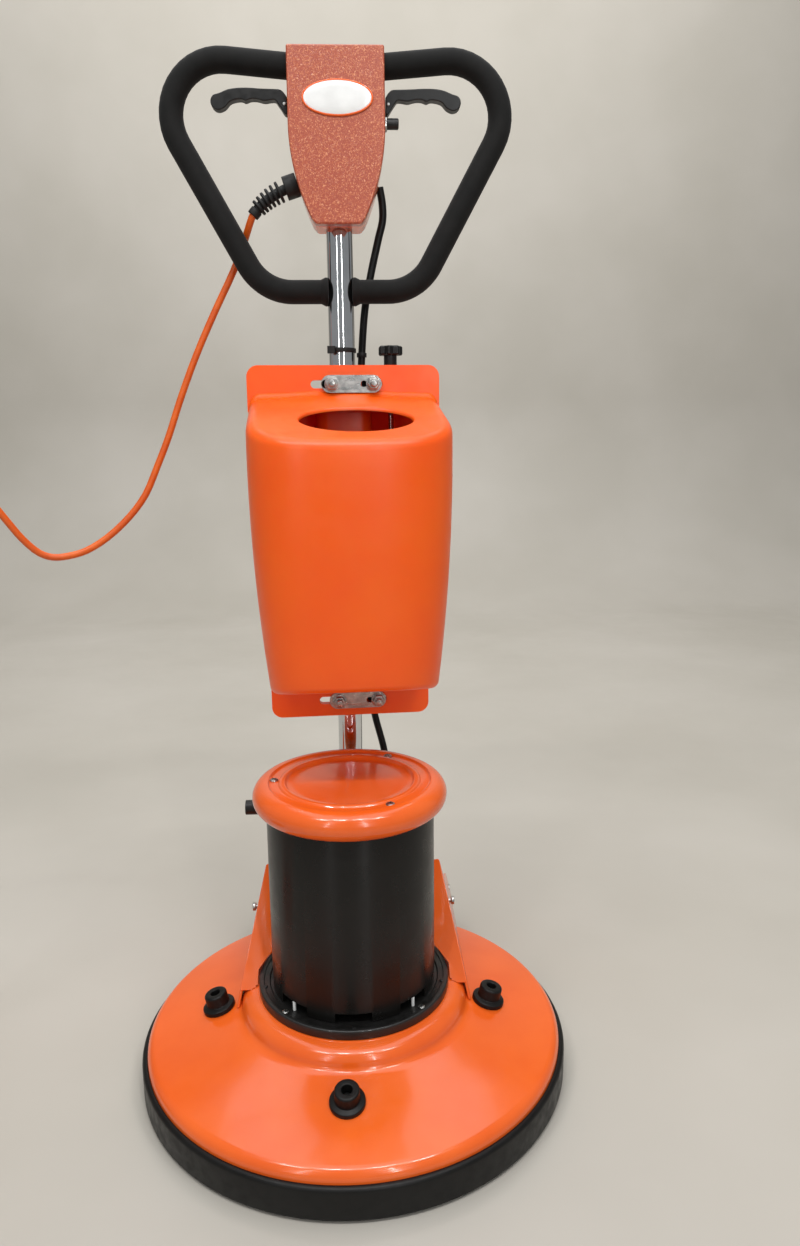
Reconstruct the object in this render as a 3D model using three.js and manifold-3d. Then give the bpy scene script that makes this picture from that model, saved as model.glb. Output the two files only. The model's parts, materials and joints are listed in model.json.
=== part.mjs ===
// A rotary floor machine: a planetary-geared pad under a round shroud, an upright motor, a
// tilting handle with a solution tank, and a control box with two squeeze levers.
// Millimetres, +Z up. Inside `machine` the motor axis is the Z axis and the operator stands at +Y.
import * as THREE from 'three';
import * as BufferGeometryUtils from 'three/addons/utils/BufferGeometryUtils.js';
import Module from 'manifold-3d';

const wasm = await Module();
wasm.setup();

// ---------- driving dimensions ----------
const GAP = 0.3;              // left between touching pieces
const SHEET = 3;              // pressed steel

const PAD_R = 215;
const PAD_TOP = 22;
const DRIVER_R = 212;
const DRIVER_TOP = 34;
const CLUTCH_TOP = 48;

const BUMPER_R = 245;
const SKIRT_R = 239;          // orange shroud inside the bumper
const BUMPER_TOP = 39;
const CONE_R = 134;           // where the shroud's cone meets the hub
const CONE_Z = 74;
const CONE_SLOPE = 0.2333;    // fall per mm of radius
const HUB_R = 114.5;
const DECK_Z = 95;            // the flat that the motor flange sits on

const PEGS = {                // distance from the motor axis, and angle in degrees
  front: [167.5, -92.3],
  right: [157, -4.4],
  rear: [162, 87],
  left: [158, 182.2],
};

const FLANGE_R = 110.7;
const FLANGE_TOP = 106;
const SHELL_R = 94.3;
const SHELL_WALL = 3.5;
const SHELL_TOP = 318;
const CAP_RING_R = 93;        // centre line of the rolled rim
const CAP_RING_Z = 331;
const CAP_TUBE_R = 16;

const MODULE = 2;             // gear module
const SUN_TEETH = 9;
const PLANET_TEETH = 27;
const RING_TEETH = 63;
const PLANETS = 3;
const GEAR_Z = 62;
const GEAR_H = 20;
const SHAFT_R = 10;

const TILT_Y = 105;
const TILT_Z = 135;
const TILT_AXLE_R = 6;
const TILT_SCREW_R = 3;       // the screws that hold the tilt axle between the yokes
const WHEEL_Y = 286;
const WHEEL_Z = 55;
const WHEEL_R = 50;
const WHEEL_X = 100;          // middle of the tread
const WHEEL_W = 28;
const WHEEL_AXLE_R = 6;
const YOKE_X = 134;           // outside of a side plate at height YOKE_Z
const YOKE_Z = 86;
const YOKE_LEAN = 12.7 * Math.PI / 180;

const POLE_Y = 135;
const POLE_R = 15;
const POLE_WALL = 2;
const POLE_BOTTOM = 137;
const POLE_TOP = 1100;

const LOOP_R = 13.2;          // rubber-sleeved handle tube
const LOOP_LOW_Z = 885;
const LOOP_TOP_Z = 1115;
const LOOP_CORNER_R = 57;
const LOOP_LOW_X = 88.3;      // corners of the loop before rounding
const LOOP_HIGH_X = 226.5;
const LOOP_HIGH_Z = 1134.7;

const BOX_W = 106;
const BOX_TOP = 1136;
const BOX_BOTTOM = 951;
const BOX_BACK_Y = 157;
const BOX_WALL = 2.5;
const FACE_Y = 100;           // front face at its lower edge
const FACE_LEAN = Math.atan(18 / 183);
const COVER_DEPTH = 16;

const LEVER_X = 56;
const LEVER_Z = 1086;
const BUTTON_Z = 1062;
const BUTTON_R = 5.85;

const TANK_TWIST = 3.7 * Math.PI / 180;
const TANK_WALL = 4;
const TANK_BACK_Y = 165;
const CHANNEL_HALF = 28.5;
const CHANNEL_Y = 117;
const PLATE_Y = 107;          // front of the tank's two fixing flanges
const UPPER_CLAMP_Z = 781;
const LOWER_CLAMP_Z = 406.5;
const CLAMP_X = 8.5;
const BOLT_XS = [-14, 33.5];
const VALVE_X = 57;
const VALVE_Y = 141;
const TANK_FLOOR_Z = 424;

const LOCK_X = -22;           // the locking rod behind the pole
const LOCK_Y = 164;
const LOCK_Z = 249;           // the lever that lifts it
const LOCK_PIVOT_X = 6;

const CABLE_R = 4;            // motor cable and power cord alike
const GLAND_X = 50;
const GLAND_Z = 148;
const RELIEF_LENGTH = 53;
const COIL_R = 72;            // to the middle of the turns
const COIL_HALF_W = 18;
const COIL_H = 52;
const COIL_X = -590;
const COIL_Y = -15;

const Y_SHIFT = -(WHEEL_Y + WHEEL_R - BUMPER_R) / 2;   // puts the origin under the box's centre

// ---------- materials ----------
const finish = (color, roughness, metalness = 0) =>
  new THREE.MeshStandardMaterial({ color, roughness, metalness });
const orangePaint = () => finish(0xd9602c, 0.3);
const hammertone = () => finish(0xcd5f41, 0.45);
const tankPlastic = () => finish(0xf26224, 0.38);
const blackMetal = () => finish(0x1b1a19, 0.35, 0.2);
const blackPlastic = () => finish(0x1c1b1a, 0.5);
const rubber = () => finish(0x191817, 0.8);
const chrome = () => finish(0xc9ccd0, 0.12, 1);
const steel = () => finish(0xa9adb2, 0.35, 1);
const castIron = () => finish(0x4b4d50, 0.6, 0.7);
const orangeCord = () => finish(0xd9601c, 0.5);

// ---------- scene graph ----------
const part = new THREE.Group();
const machine = new THREE.Group();
machine.position.y = Y_SHIFT;
part.add(machine);
const tankGroup = new THREE.Group();
tankGroup.position.set(0, POLE_Y, 0);
tankGroup.rotation.z = TANK_TWIST;
machine.add(tankGroup);

function add(name, geometry, material, parent = machine) {
  const mesh = new THREE.Mesh(geometry, material);
  mesh.name = name;
  parent.add(mesh);
  return mesh;
}

// ---------- geometry helpers ----------
const v2 = (x, y) => new THREE.Vector2(x, y);
const v3 = (x, y, z) => new THREE.Vector3(x, y, z);
const degrees = Math.PI / 180;

function arc(x, y, radius, from, to, steps) {
  const points = [];
  for (let i = 0; i <= steps; i++) {
    const a = (from + (to - from) * i / steps) * degrees;
    points.push(v2(x + radius * Math.cos(a), y + radius * Math.sin(a)));
  }
  return points;
}

// A body of revolution about Z from a closed (radius, height) outline.
function turned(outline, segments = 32) {
  const points = THREE.ShapeUtils.area(outline) < 0 ? [...outline].reverse() : [...outline];
  const geometry = new THREE.LatheGeometry([...points, points[0].clone()], segments);
  return geometry.rotateX(Math.PI / 2);
}

const tube = (outer, inner, z0, z1, segments = 24) =>
  turned([v2(inner, z0), v2(outer, z0), v2(outer, z1), v2(inner, z1)], segments);

function rod(radius, z0, z1, segments = 16) {
  return new THREE.CylinderGeometry(radius, radius, z1 - z0, segments)
    .rotateX(Math.PI / 2).translate(0, 0, (z0 + z1) / 2);
}

function rodX(radius, x0, x1, y, z, segments = 16) {
  return rod(radius, x0, x1, segments).rotateY(Math.PI / 2).translate(0, y, z);
}

function rodY(radius, y0, y1, x, z, segments = 16) {
  return rod(radius, -y1, -y0, segments).rotateX(Math.PI / 2).translate(x, 0, z);
}

function block(x0, x1, y0, y1, z0, z1) {
  return new THREE.BoxGeometry(x1 - x0, y1 - y0, z1 - z0)
    .translate((x0 + x1) / 2, (y0 + y1) / 2, (z0 + z1) / 2);
}

// An (x, y) outline pushed up from z0 to z1.
function prism(points, z0, z1) {
  const shape = Array.isArray(points) ? new THREE.Shape(points) : points;
  const options = { depth: z1 - z0, bevelEnabled: false, curveSegments: 4 };
  return new THREE.ExtrudeGeometry(shape, options).translate(0, 0, z0);
}

// An (x, z) outline pushed from y0 back to y1.
const prismY = (points, y0, y1) => prism(points, -y1, -y0).rotateX(Math.PI / 2);
// A (y, z) outline pushed from x0 to x1.
const prismX = (points, x0, x1) =>
  prism(points, x0, x1).rotateX(Math.PI / 2).rotateZ(Math.PI / 2);

function sweep(curve, radius, steps, sides = 10) {
  const section = new THREE.Shape(arc(0, 0, radius, 0, 360 - 360 / sides, sides - 1));
  return new THREE.ExtrudeGeometry(section, { extrudePath: curve, steps, bevelEnabled: false });
}

// The path through corner points with each inner corner rounded.
function roundedPath(corners, radius) {
  const path = new THREE.CurvePath();
  let start = corners[0];
  for (let i = 1; i < corners.length - 1; i++) {
    const into = corners[i].clone().sub(corners[i - 1]).normalize();
    const out = corners[i + 1].clone().sub(corners[i]).normalize();
    const cut = radius * Math.tan(into.angleTo(out) / 2);
    const a = corners[i].clone().addScaledVector(into, -cut);
    const b = corners[i].clone().addScaledVector(out, cut);
    path.add(new THREE.LineCurve3(start, a));
    path.add(new CornerArc(a, into, b, radius));
    start = b;
  }
  path.add(new THREE.LineCurve3(start, corners.at(-1)));
  return path;
}

// A circular arc that leaves `a` along `into` and ends at `b`.
class CornerArc extends THREE.Curve {
  constructor(a, into, b, radius) {
    super();
    const chord = b.clone().sub(a);
    this.side = chord.clone().addScaledVector(into, -chord.dot(into)).normalize();
    this.sweepAngle = 2 * into.angleTo(chord);
    this.centre = a.clone().addScaledVector(this.side, radius);
    this.into = into;
    this.radius = radius;
  }

  getPoint(t, target = new THREE.Vector3()) {
    const angle = t * this.sweepAngle;
    return target.copy(this.centre)
      .addScaledVector(this.side, -this.radius * Math.cos(angle))
      .addScaledVector(this.into, this.radius * Math.sin(angle));
  }
}

// ---------- joining and cutting ----------
function solid(geometry) {
  const bare = geometry.clone();
  bare.deleteAttribute('normal');
  bare.deleteAttribute('uv');
  const merged = BufferGeometryUtils.mergeVertices(bare, 1e-3);
  const index = merged.index.array;
  const kept = [];
  for (let i = 0; i < index.length; i += 3) {
    const [a, b, c] = [index[i], index[i + 1], index[i + 2]];
    if (a !== b && b !== c && c !== a) kept.push(a, b, c);
  }
  return new wasm.Manifold(new wasm.Mesh({
    numProp: 3,
    vertProperties: Float32Array.from(merged.attributes.position.array),
    triVerts: Uint32Array.from(kept),
  }));
}

function surface(manifold) {
  const mesh = manifold.getMesh();
  const geometry = new THREE.BufferGeometry();
  geometry.setAttribute('position', new THREE.BufferAttribute(mesh.vertProperties, 3));
  geometry.setIndex(new THREE.BufferAttribute(mesh.triVerts, 1));
  geometry.computeVertexNormals();
  return geometry;
}

// The main body, without the slivers that nearly level cuts leave.
const largest = (manifold) => manifold.decompose().sort((a, b) => b.volume() - a.volume())[0];
const joined = (...pieces) => pieces.map(solid).reduce((all, piece) => all.add(piece));
const cut = (body, ...tools) => tools.map(solid).reduce((all, tool) => all.subtract(tool), body);

// ---------- shroud, bumper and pegs ----------
function shroudOutline() {
  const rim = [v2(SKIRT_R, 8), ...arc(SKIRT_R - 12, 40, 12, 0, 77, 3)];
  const hub = [v2(CONE_R, CONE_Z), ...arc(HUB_R, 77, 16.5, 0, 90, 3)];
  const deck = [v2(HUB_R, DECK_Z), v2(105, DECK_Z), v2(105, DECK_Z - SHEET)];
  const underHub = [...arc(HUB_R, 77, 13.5, 80, 0, 2), v2(CONE_R - 5, CONE_Z - 2)];
  const underRim = [...arc(SKIRT_R - 12, 40, 9, 77, 0, 2), v2(SKIRT_R - SHEET, 8)];
  return [...rim, ...hub, ...deck, ...underHub, ...underRim];
}

function bumperOutline() {
  const inner = SKIRT_R + GAP;
  return [
    v2(233, 3), v2(BUMPER_R - 2, 3), v2(BUMPER_R, 5), v2(BUMPER_R, 34),
    ...arc(BUMPER_R - 4.5, 34, 4.5, 35, 90, 1), v2(inner, BUMPER_TOP - 0.5),
    v2(inner, 7.5), v2(233, 7.5),
  ];
}

function pegOutline() {
  return [
    v2(5.5, 8), v2(5.5, 20), ...arc(10.5, 17.5, 2.5, 90, 0, 1),
    v2(13, 6.5), v2(17, 5.5), v2(18.5, 4), v2(18.5, 0), v2(0, 0), v2(0, 8),
  ];
}

function addPeg(name, distance, angle) {
  const arm = new THREE.Group();
  arm.rotation.z = angle * degrees;
  machine.add(arm);
  const peg = add(name, turned(pegOutline(), 10), rubber(), arm);
  peg.position.set(distance, 0, CONE_Z - CONE_SLOPE * (distance - CONE_R) + 2 * GAP);
  peg.rotation.y = Math.atan(CONE_SLOPE);
}

add('shroud', turned(shroudOutline(), 36), orangePaint());
add('bumper', turned(bumperOutline(), 36), rubber());
for (const [side, [distance, angle]] of Object.entries(PEGS)) {
  addPeg(`peg_${side}`, distance, angle);
}

// ---------- motor housing ----------
function flangeOutline() {
  const bottom = DECK_Z + GAP;
  return [
    v2(23.8, bottom), v2(FLANGE_R, bottom), v2(FLANGE_R, FLANGE_TOP - 1.5),
    v2(FLANGE_R - 1.5, FLANGE_TOP), v2(98.5, FLANGE_TOP), v2(97.5, FLANGE_TOP - 3),
    v2(34, FLANGE_TOP - 3), v2(32, 112), v2(23.8, 112),
  ];
}

function motorShell() {
  const bottom = FLANGE_TOP - 3 + GAP;
  let shell = solid(tube(SHELL_R, SHELL_R - SHELL_WALL, bottom, SHELL_TOP, 36));
  const gland = cut(solid(rodY(9, 84, 97, GLAND_X, GLAND_Z)), rod(SHELL_R - 2, 100, 200, 36));
  shell = shell.add(gland);
  for (let i = 0; i < 4; i++) {
    const notch = block(-20, 20, -120, 120, bottom - 1, bottom + 11.5);
    shell = cut(shell, notch.rotateZ(i * Math.PI / 4));
  }
  return surface(shell);
}

function capOutline() {
  const [r, z] = [CAP_RING_R, CAP_RING_Z];
  return [
    ...arc(r, z, CAP_TUBE_R, -81, 90, 8), v2(91, 345), v2(79.5, 345), v2(78, 346.5),
    v2(73, 346.5), v2(70.7, 342.5), v2(0, 341.5), v2(0, 338.5), v2(73, 339.5), v2(79, 342),
    ...arc(r, z, CAP_TUBE_R - SHEET, 90, -72, 4),
  ];
}

add('motor_flange', turned(flangeOutline(), 28), blackMetal());
add('motor_shell', motorShell(), blackMetal());
add('motor_cap', turned(capOutline(), 28), orangePaint());
add('lower_bearing', tube(23.5, SHAFT_R + GAP, 97, 111), steel());
add('upper_bearing', tube(20, 8.8, 262, 274), steel());
add('upper_end_shield', turned([
  v2(20.3, 258), v2(30, 258), v2(33, 264), v2(90.4, 264),
  v2(90.4, 270), v2(33, 270), v2(30, 276), v2(20.3, 276),
], 24), castIron());
add('stator', turned([
  v2(57, 155), v2(63, 155), v2(63, 136), v2(84, 136), v2(84, 155), v2(90.4, 155),
  v2(90.4, 235), v2(84, 235), v2(84, 254), v2(63, 254), v2(63, 235), v2(57, 235),
], 20), castIron());

// ---------- rotor ----------
// A straight-sided gear tooth outline. `side` is 1 for an outside gear and -1 for a ring gear.
function toothOutline(teeth, side, phase = 0) {
  const pitch = MODULE * teeth / 2;
  const tip = pitch + side * 0.9 * MODULE;
  const root = pitch - side * 1.2 * MODULE;
  const points = [];
  for (let i = 0; i < teeth; i++) {
    for (const [share, radius] of [[-0.31, root], [-0.125, tip], [0.125, tip], [0.31, root]]) {
      const a = (i + share + phase) * 2 * Math.PI / teeth;
      points.push(v2(radius * Math.cos(a), radius * Math.sin(a)));
    }
  }
  return points;
}

function motorShaft() {
  const stem = turned([
    v2(0, 82), v2(SHAFT_R - 1, 82), v2(SHAFT_R, 86), v2(SHAFT_R, 261), v2(8.5, 261),
    v2(8.5, 311), v2(0, 311),
  ], 20);
  const pinion = prism(toothOutline(SUN_TEETH, 1), GEAR_Z, GEAR_Z + GEAR_H + 1);
  return surface(joined(stem, pinion));
}

function coolingFan() {
  const outline = [];
  const blades = 6;
  for (let i = 0; i < blades; i++) {
    for (const [share, radius] of [[-0.42, 22], [-0.06, 24], [-0.04, 70], [0.04, 70], [0.06, 24]]) {
      const a = (i + share) * 2 * Math.PI / blades;
      outline.push(v2(radius * Math.cos(a), radius * Math.sin(a)));
    }
  }
  const blank = joined(prism(outline, 284, 306), rod(66, 281, 285, 32));
  return surface(cut(blank, rod(8.8, 270, 320, 20)));
}

add('motor_shaft', motorShaft(), steel());
add('rotor_core', tube(56, SHAFT_R + GAP, 157, 233, 24), castIron());
add('cooling_fan', coolingFan(), blackPlastic());

// ---------- planetary gearbox and pad ----------
const planetCircle = MODULE * (SUN_TEETH + PLANET_TEETH) / 2;

function ringGear() {
  const shape = new THREE.Shape(arc(0, 0, 78, 0, 345, 23));
  shape.holes.push(new THREE.Path(toothOutline(RING_TEETH, -1, 0.5).reverse()));
  return prism(shape, GEAR_Z - 2, DECK_Z);
}

function planetCarrier() {
  let body = joined(rod(55, 50, 59, 24), rod(SHAFT_R + 5, 24, 51, 20));
  for (let i = 0; i < PLANETS; i++) {
    const pin = rod(5, 58, GEAR_Z + GEAR_H + 1).translate(planetCircle, 0, 0);
    body = body.add(solid(pin.rotateZ(i * 2 * Math.PI / PLANETS)));
  }
  return surface(body);
}

function planetGear() {
  const shape = new THREE.Shape(toothOutline(PLANET_TEETH, 1));
  shape.holes.push(new THREE.Path(arc(0, 0, 5 + GAP, 0, 330, 11).reverse()));
  return prism(shape, GEAR_Z, GEAR_Z + GEAR_H);
}

add('ring_gear', ringGear(), castIron());
add('planet_carrier', planetCarrier(), steel());
for (let i = 0; i < PLANETS; i++) {
  const planet = add(`planet_gear_${i + 1}`, planetGear(), steel());
  const angle = i * 2 * Math.PI / PLANETS;
  planet.position.set(planetCircle * Math.cos(angle), planetCircle * Math.sin(angle), 0);
}
add('pad_driver', turned([
  v2(15.3, PAD_TOP + GAP), v2(DRIVER_R, PAD_TOP + GAP), v2(DRIVER_R, DRIVER_TOP),
  v2(48, DRIVER_TOP), v2(45, CLUTCH_TOP), v2(15.3, CLUTCH_TOP),
], 40), blackPlastic());
add('floor_pad', tube(PAD_R, 38, 0, PAD_TOP, 36), finish(0x2a2a2c, 0.95));

// ---------- yoke, axles and wheels ----------
const YOKE_FOOT = v2(-12, 8);   // where the front web starts, up the side plate's front edge
const YOKE_SHOULDER = v2(92, 108);

function yokeOutline() {
  return [
    v2(-19, -11.4), YOKE_FOOT, YOKE_SHOULDER, ...arc(101, 103, 9, 120, 20, 3), v2(122, 70),
    v2(215, 30), ...arc(WHEEL_Y, WHEEL_Z - YOKE_Z, 24, 75, -90, 7), v2(262, -49),
    v2(216, -22), v2(8, -10.5),
  ];
}

// A folded bracket: a side plate that leans in, and a front web that leans back to its tip.
function yoke(side) {
  const plate = prismX(yokeOutline(), -SHEET, 0);
  const front = YOKE_SHOULDER.clone().sub(YOKE_FOOT);
  const web = prism([
    v2(-1, 0), v2(-46, 9), v2(-33, 132), ...arc(-17, 132, 16, 180, 90, 4), v2(-1, 146),
  ], -SHEET, 0);
  web.rotateX(front.angle()).translate(0, YOKE_FOOT.x, YOKE_FOOT.y);
  let body = joined(plate, web);
  body = body.rotate([0, -YOKE_LEAN / degrees, 0]).translate([YOKE_X, 0, YOKE_Z]);
  const hub = turned([
    v2(0, 60), v2(CONE_R + 0.6, 60), v2(CONE_R + 0.6, CONE_Z),
    ...arc(HUB_R, 77, 17.2, 0, 90, 3), v2(HUB_R + 0.6, DECK_Z + 0.7), v2(0, DECK_Z + 0.7),
  ], 36);
  body = cut(body, hub, rod(FLANGE_R + 2, 60, 110, 36), rod(SHELL_R + 2, 60, 300, 36),
    rodX(TILT_SCREW_R + GAP, 90, 160, TILT_Y, TILT_Z),
    rodX(WHEEL_AXLE_R + GAP, 90, 180, WHEEL_Y, WHEEL_Z));
  return surface(side > 0 ? largest(body) : largest(body).mirror([1, 0, 0]));
}

// A shaft along X from the (radius, x) corners of its positive half.
function shaft(half) {
  const end = half.at(-1).y;
  const other = half.map((p) => v2(p.x, -p.y)).reverse();
  return turned([v2(0, -end), ...other, ...half, v2(0, end)], 20).rotateY(Math.PI / 2);
}

function wheelTyre() {
  const half = WHEEL_W / 2;
  return turned([
    v2(38, -half), v2(WHEEL_R - 3, -half), v2(WHEEL_R, 3 - half), v2(WHEEL_R, half - 3),
    v2(WHEEL_R - 3, half), v2(38, half),
  ], 20).rotateY(Math.PI / 2);
}

function wheelHub() {
  return turned([
    v2(WHEEL_AXLE_R + GAP, -14.5), v2(12, -14.5), v2(13, -6), v2(38 - GAP, -9),
    v2(38 - GAP, 9), v2(13, 6), v2(12, 14.5), v2(WHEEL_AXLE_R + GAP, 14.5),
  ], 20).rotateY(Math.PI / 2);
}

add('yoke_left', yoke(-1), orangePaint());
add('yoke_right', yoke(1), orangePaint());
const tiltAxle = add('tilt_axle', shaft([
  v2(TILT_AXLE_R, 117.5), v2(TILT_SCREW_R, 117.5), v2(TILT_SCREW_R, 125), v2(5.2, 125),
  v2(5.2, 129),
]), steel());
tiltAxle.position.set(0, TILT_Y, TILT_Z);
const wheelAxle = add('wheel_axle', shaft([
  v2(WHEEL_AXLE_R, 116), v2(10, 116), v2(10, 135), v2(WHEEL_AXLE_R, 135),
  v2(WHEEL_AXLE_R, 141.5),
]), steel());
wheelAxle.position.set(0, WHEEL_Y, WHEEL_Z);
for (const [label, side] of [['left', -1], ['right', 1]]) {
  const tyre = add(`wheel_tyre_${label}`, wheelTyre(), rubber());
  const hub = add(`wheel_hub_${label}`, wheelHub(), finish(0x55575a, 0.6));
  tyre.position.set(side * WHEEL_X, WHEEL_Y, WHEEL_Z);
  hub.position.copy(tyre.position);
}

// ---------- pole, fork and tilt lock ----------
function poleFork() {
  const sleeve = rodX(9, -38, 38, TILT_Y, TILT_Z, 20);
  const socket = prismX([
    v2(108, TILT_Z - 5), v2(126, TILT_Z - 5), v2(POLE_Y + POLE_R + 6, TILT_Z + 10),
    v2(POLE_Y + POLE_R + 6, TILT_Z + 28), v2(108, TILT_Z + 28),
  ], -24, 24);
  const guide = block(-30, -14, 155, 172, 150, 163);
  const blank = joined(sleeve, socket, guide);
  return surface(cut(blank, rodX(TILT_AXLE_R + GAP, -50, 50, TILT_Y, TILT_Z, 20),
    rod(POLE_R + GAP, POLE_BOTTOM - GAP, 200, 24).translate(0, POLE_Y, 0),
    rod(4 + GAP, 100, 200, 12).translate(LOCK_X, LOCK_Y, 0)));
}

function tiltLockLever() {
  const arm = block(-110, LOCK_PIVOT_X, 152, 158, LOCK_Z - 5, LOCK_Z + 5);
  const grip = rodX(9.5, -139, -106, 155, LOCK_Z, 16);
  const eye = rodY(8, POLE_Y + POLE_R + GAP, 158, LOCK_PIVOT_X, LOCK_Z);
  return surface(joined(arm, grip, eye));
}

add('pole', tube(POLE_R, POLE_R - POLE_WALL, POLE_BOTTOM, POLE_TOP, 24), chrome())
  .position.y = POLE_Y;
add('pole_fork', poleFork(), blackMetal());
add('lock_rod', rod(4, 141, LOCK_Z + 22, 12), steel()).position.set(LOCK_X, LOCK_Y, 0);
add('tilt_lock_lever', tiltLockLever(), blackPlastic());

// ---------- handle loop ----------
function handlePath() {
  const right = [
    v3(POLE_R + GAP, POLE_Y, LOOP_LOW_Z), v3(LOOP_LOW_X, POLE_Y, LOOP_LOW_Z),
    v3(LOOP_HIGH_X, POLE_Y, LOOP_HIGH_Z),
  ];
  const left = right.map((p) => v3(-p.x, p.y, p.z)).reverse();
  return roundedPath([...right, v3(0, POLE_Y, LOOP_TOP_Z), ...left], LOOP_CORNER_R);
}

add('handle_loop', sweep(handlePath(), LOOP_R, 60, 8), rubber());

// ---------- control box ----------
// The shield outline of the box seen from the front, grown by `grow` all round.
function shield(grow) {
  const half = BOX_W / 2 + grow;
  const low = 27.3 + grow;
  const shape = new THREE.Shape();
  shape.moveTo(-low + 6, BOX_BOTTOM - grow);
  shape.lineTo(low - 6, BOX_BOTTOM - grow);
  shape.quadraticCurveTo(low, BOX_BOTTOM - grow, low + 2.5, BOX_BOTTOM + 6);
  shape.quadraticCurveTo(half, 1006, half, 1056);
  shape.lineTo(half, BOX_TOP + grow);
  shape.lineTo(-half, BOX_TOP + grow);
  shape.lineTo(-half, 1056);
  shape.quadraticCurveTo(-half, 1006, -low - 2.5, BOX_BOTTOM + 6);
  shape.quadraticCurveTo(-low, BOX_BOTTOM - grow, -low + 6, BOX_BOTTOM - grow);
  return shape;
}

// Everything in front of the leaning plane that stands `depth` behind the front face.
function inFrontOf(depth) {
  const run = Math.tan(FACE_LEAN);
  const low = FACE_Y + depth / Math.cos(FACE_LEAN) - 60 * run;
  const high = low + 320 * run;
  return prismX([
    v2(0, BOX_BOTTOM - 60), v2(low, BOX_BOTTOM - 60),
    v2(high, BOX_BOTTOM + 260), v2(0, BOX_BOTTOM + 260),
  ], -90, 90);
}

const loopClearance = () => rodX(LOOP_R + 2.6, -90, 90, POLE_Y, LOOP_TOP_Z + 3, 20);

function boxCover() {
  let body = solid(prismY(shield(0), 60, BOX_BACK_Y));
  body = cut(body, inFrontOf(0)).intersect(solid(inFrontOf(COVER_DEPTH)));
  const hollow = cut(solid(prismY(shield(-BOX_WALL), 60, 170)), inFrontOf(BOX_WALL));
  return surface(cut(body.subtract(hollow), loopClearance()));
}

function boxHousing() {
  let body = solid(prismY(shield(-0.6), 90, BOX_BACK_Y));
  body = cut(body, inFrontOf(COVER_DEPTH + GAP));
  const hollow = solid(prismY(shield(-0.6 - BOX_WALL), 60, BOX_BACK_Y - BOX_WALL));
  const poleHole = rod(POLE_R + GAP, 900, 1000, 24).translate(0, POLE_Y, 0);
  const buttonHole = rodX(BUTTON_R + GAP, 40, 60, POLE_Y, BUTTON_Z);
  return surface(cut(body.subtract(hollow), loopClearance(), poleHole, buttonHole));
}

function badgePlate() {
  const shape = new THREE.Shape();
  shape.absellipse(0, 0, 38.8, 19.3, 0, 2 * Math.PI);
  return new THREE.ExtrudeGeometry(shape, { depth: 2.5, bevelEnabled: false, curveSegments: 20 })
    .rotateX(Math.PI / 2 - FACE_LEAN);
}

function strainRelief() {
  const outline = [v2(0, 0), v2(11.5, 0), v2(11.5, 7), v2(8.5, 7.5)];
  for (let i = 0; i < 3; i++) {
    const z = 9 + i * 13;
    const r = 10 - i * 0.9;
    outline.push(v2(r, z), v2(r, z + 7), v2(r - 2.5, z + 7.5), v2(r - 2.5, z + 12.4));
  }
  outline.push(v2(6.5, RELIEF_LENGTH), v2(0, RELIEF_LENGTH));
  return turned(outline, 10);
}

add('box_cover', boxCover(), hammertone());
add('box_housing', boxHousing(), orangePaint());
const badge = add('badge', badgePlate(), finish(0xf2f2f0, 0.3));
const badgeRise = 1081 - BOX_BOTTOM;
badge.position.set(1.5, FACE_Y + badgeRise * Math.tan(FACE_LEAN) - GAP, BOX_BOTTOM + badgeRise);
add('main_switch', block(-44, -20, 122, 148, 1042, 1084), blackPlastic());
const relief = add('strain_relief', strainRelief(), blackPlastic());
relief.position.set(-52.5, POLE_Y, 1001);
relief.rotation.set(0, -127 * degrees, 0);

// ---------- hand controls ----------
// The blade runs out from its pivot, with a claw below the pivot and a drop-shaped end.
function leverBlade() {
  const top = [
    v2(-2, 1), v2(5, 8.6), v2(11, 9.2), v2(41, 10.4), v2(54, 10), v2(63, 8.4), v2(72, 4.7),
  ];
  const end = arc(73, -3.6, 8.5, 50, -130, 6);
  const under = [
    v2(60.5, -4), v2(54, -1.8), v2(47.5, -1.4), v2(43.5, -2.9), v2(38, -1.1), v2(31, -1.1),
    v2(22.5, -2.9), v2(16, -2), v2(10, -2),
  ];
  const claw = [v2(8.3, -5.7), v2(4, -10.6), v2(0, -16), v2(-2, -15.6)];
  return prismY([...top, ...end, ...under, ...claw], -6, 6);
}

for (const [label, side] of [['left', -1], ['right', 1]]) {
  const lever = add(`lever_${label}`, leverBlade(), blackPlastic());
  lever.position.set(side * LEVER_X, POLE_Y, LEVER_Z);
  lever.rotation.z = side > 0 ? 0 : Math.PI;
}
add('interlock_button', rodX(BUTTON_R, 38, 68.5, POLE_Y, BUTTON_Z), blackPlastic());

// ---------- solution tank, in the pole's frame ----------
// One level of the tank's plan: straight sides and a rounded front.
function tankSection(half, front, back, shoulder) {
  const points = [v2(half - 14, back), v2(half, back - 14)];
  for (let i = 0; i <= 12; i++) {
    const a = Math.PI * i / 12;
    const x = half * Math.sign(Math.cos(a)) * Math.abs(Math.cos(a)) ** 0.72;
    points.push(v2(x, shoulder - (shoulder - front) * Math.sin(a) ** 0.72));
  }
  points.push(v2(-half, back - 14), v2(-half + 14, back));
  return points;
}

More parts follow.
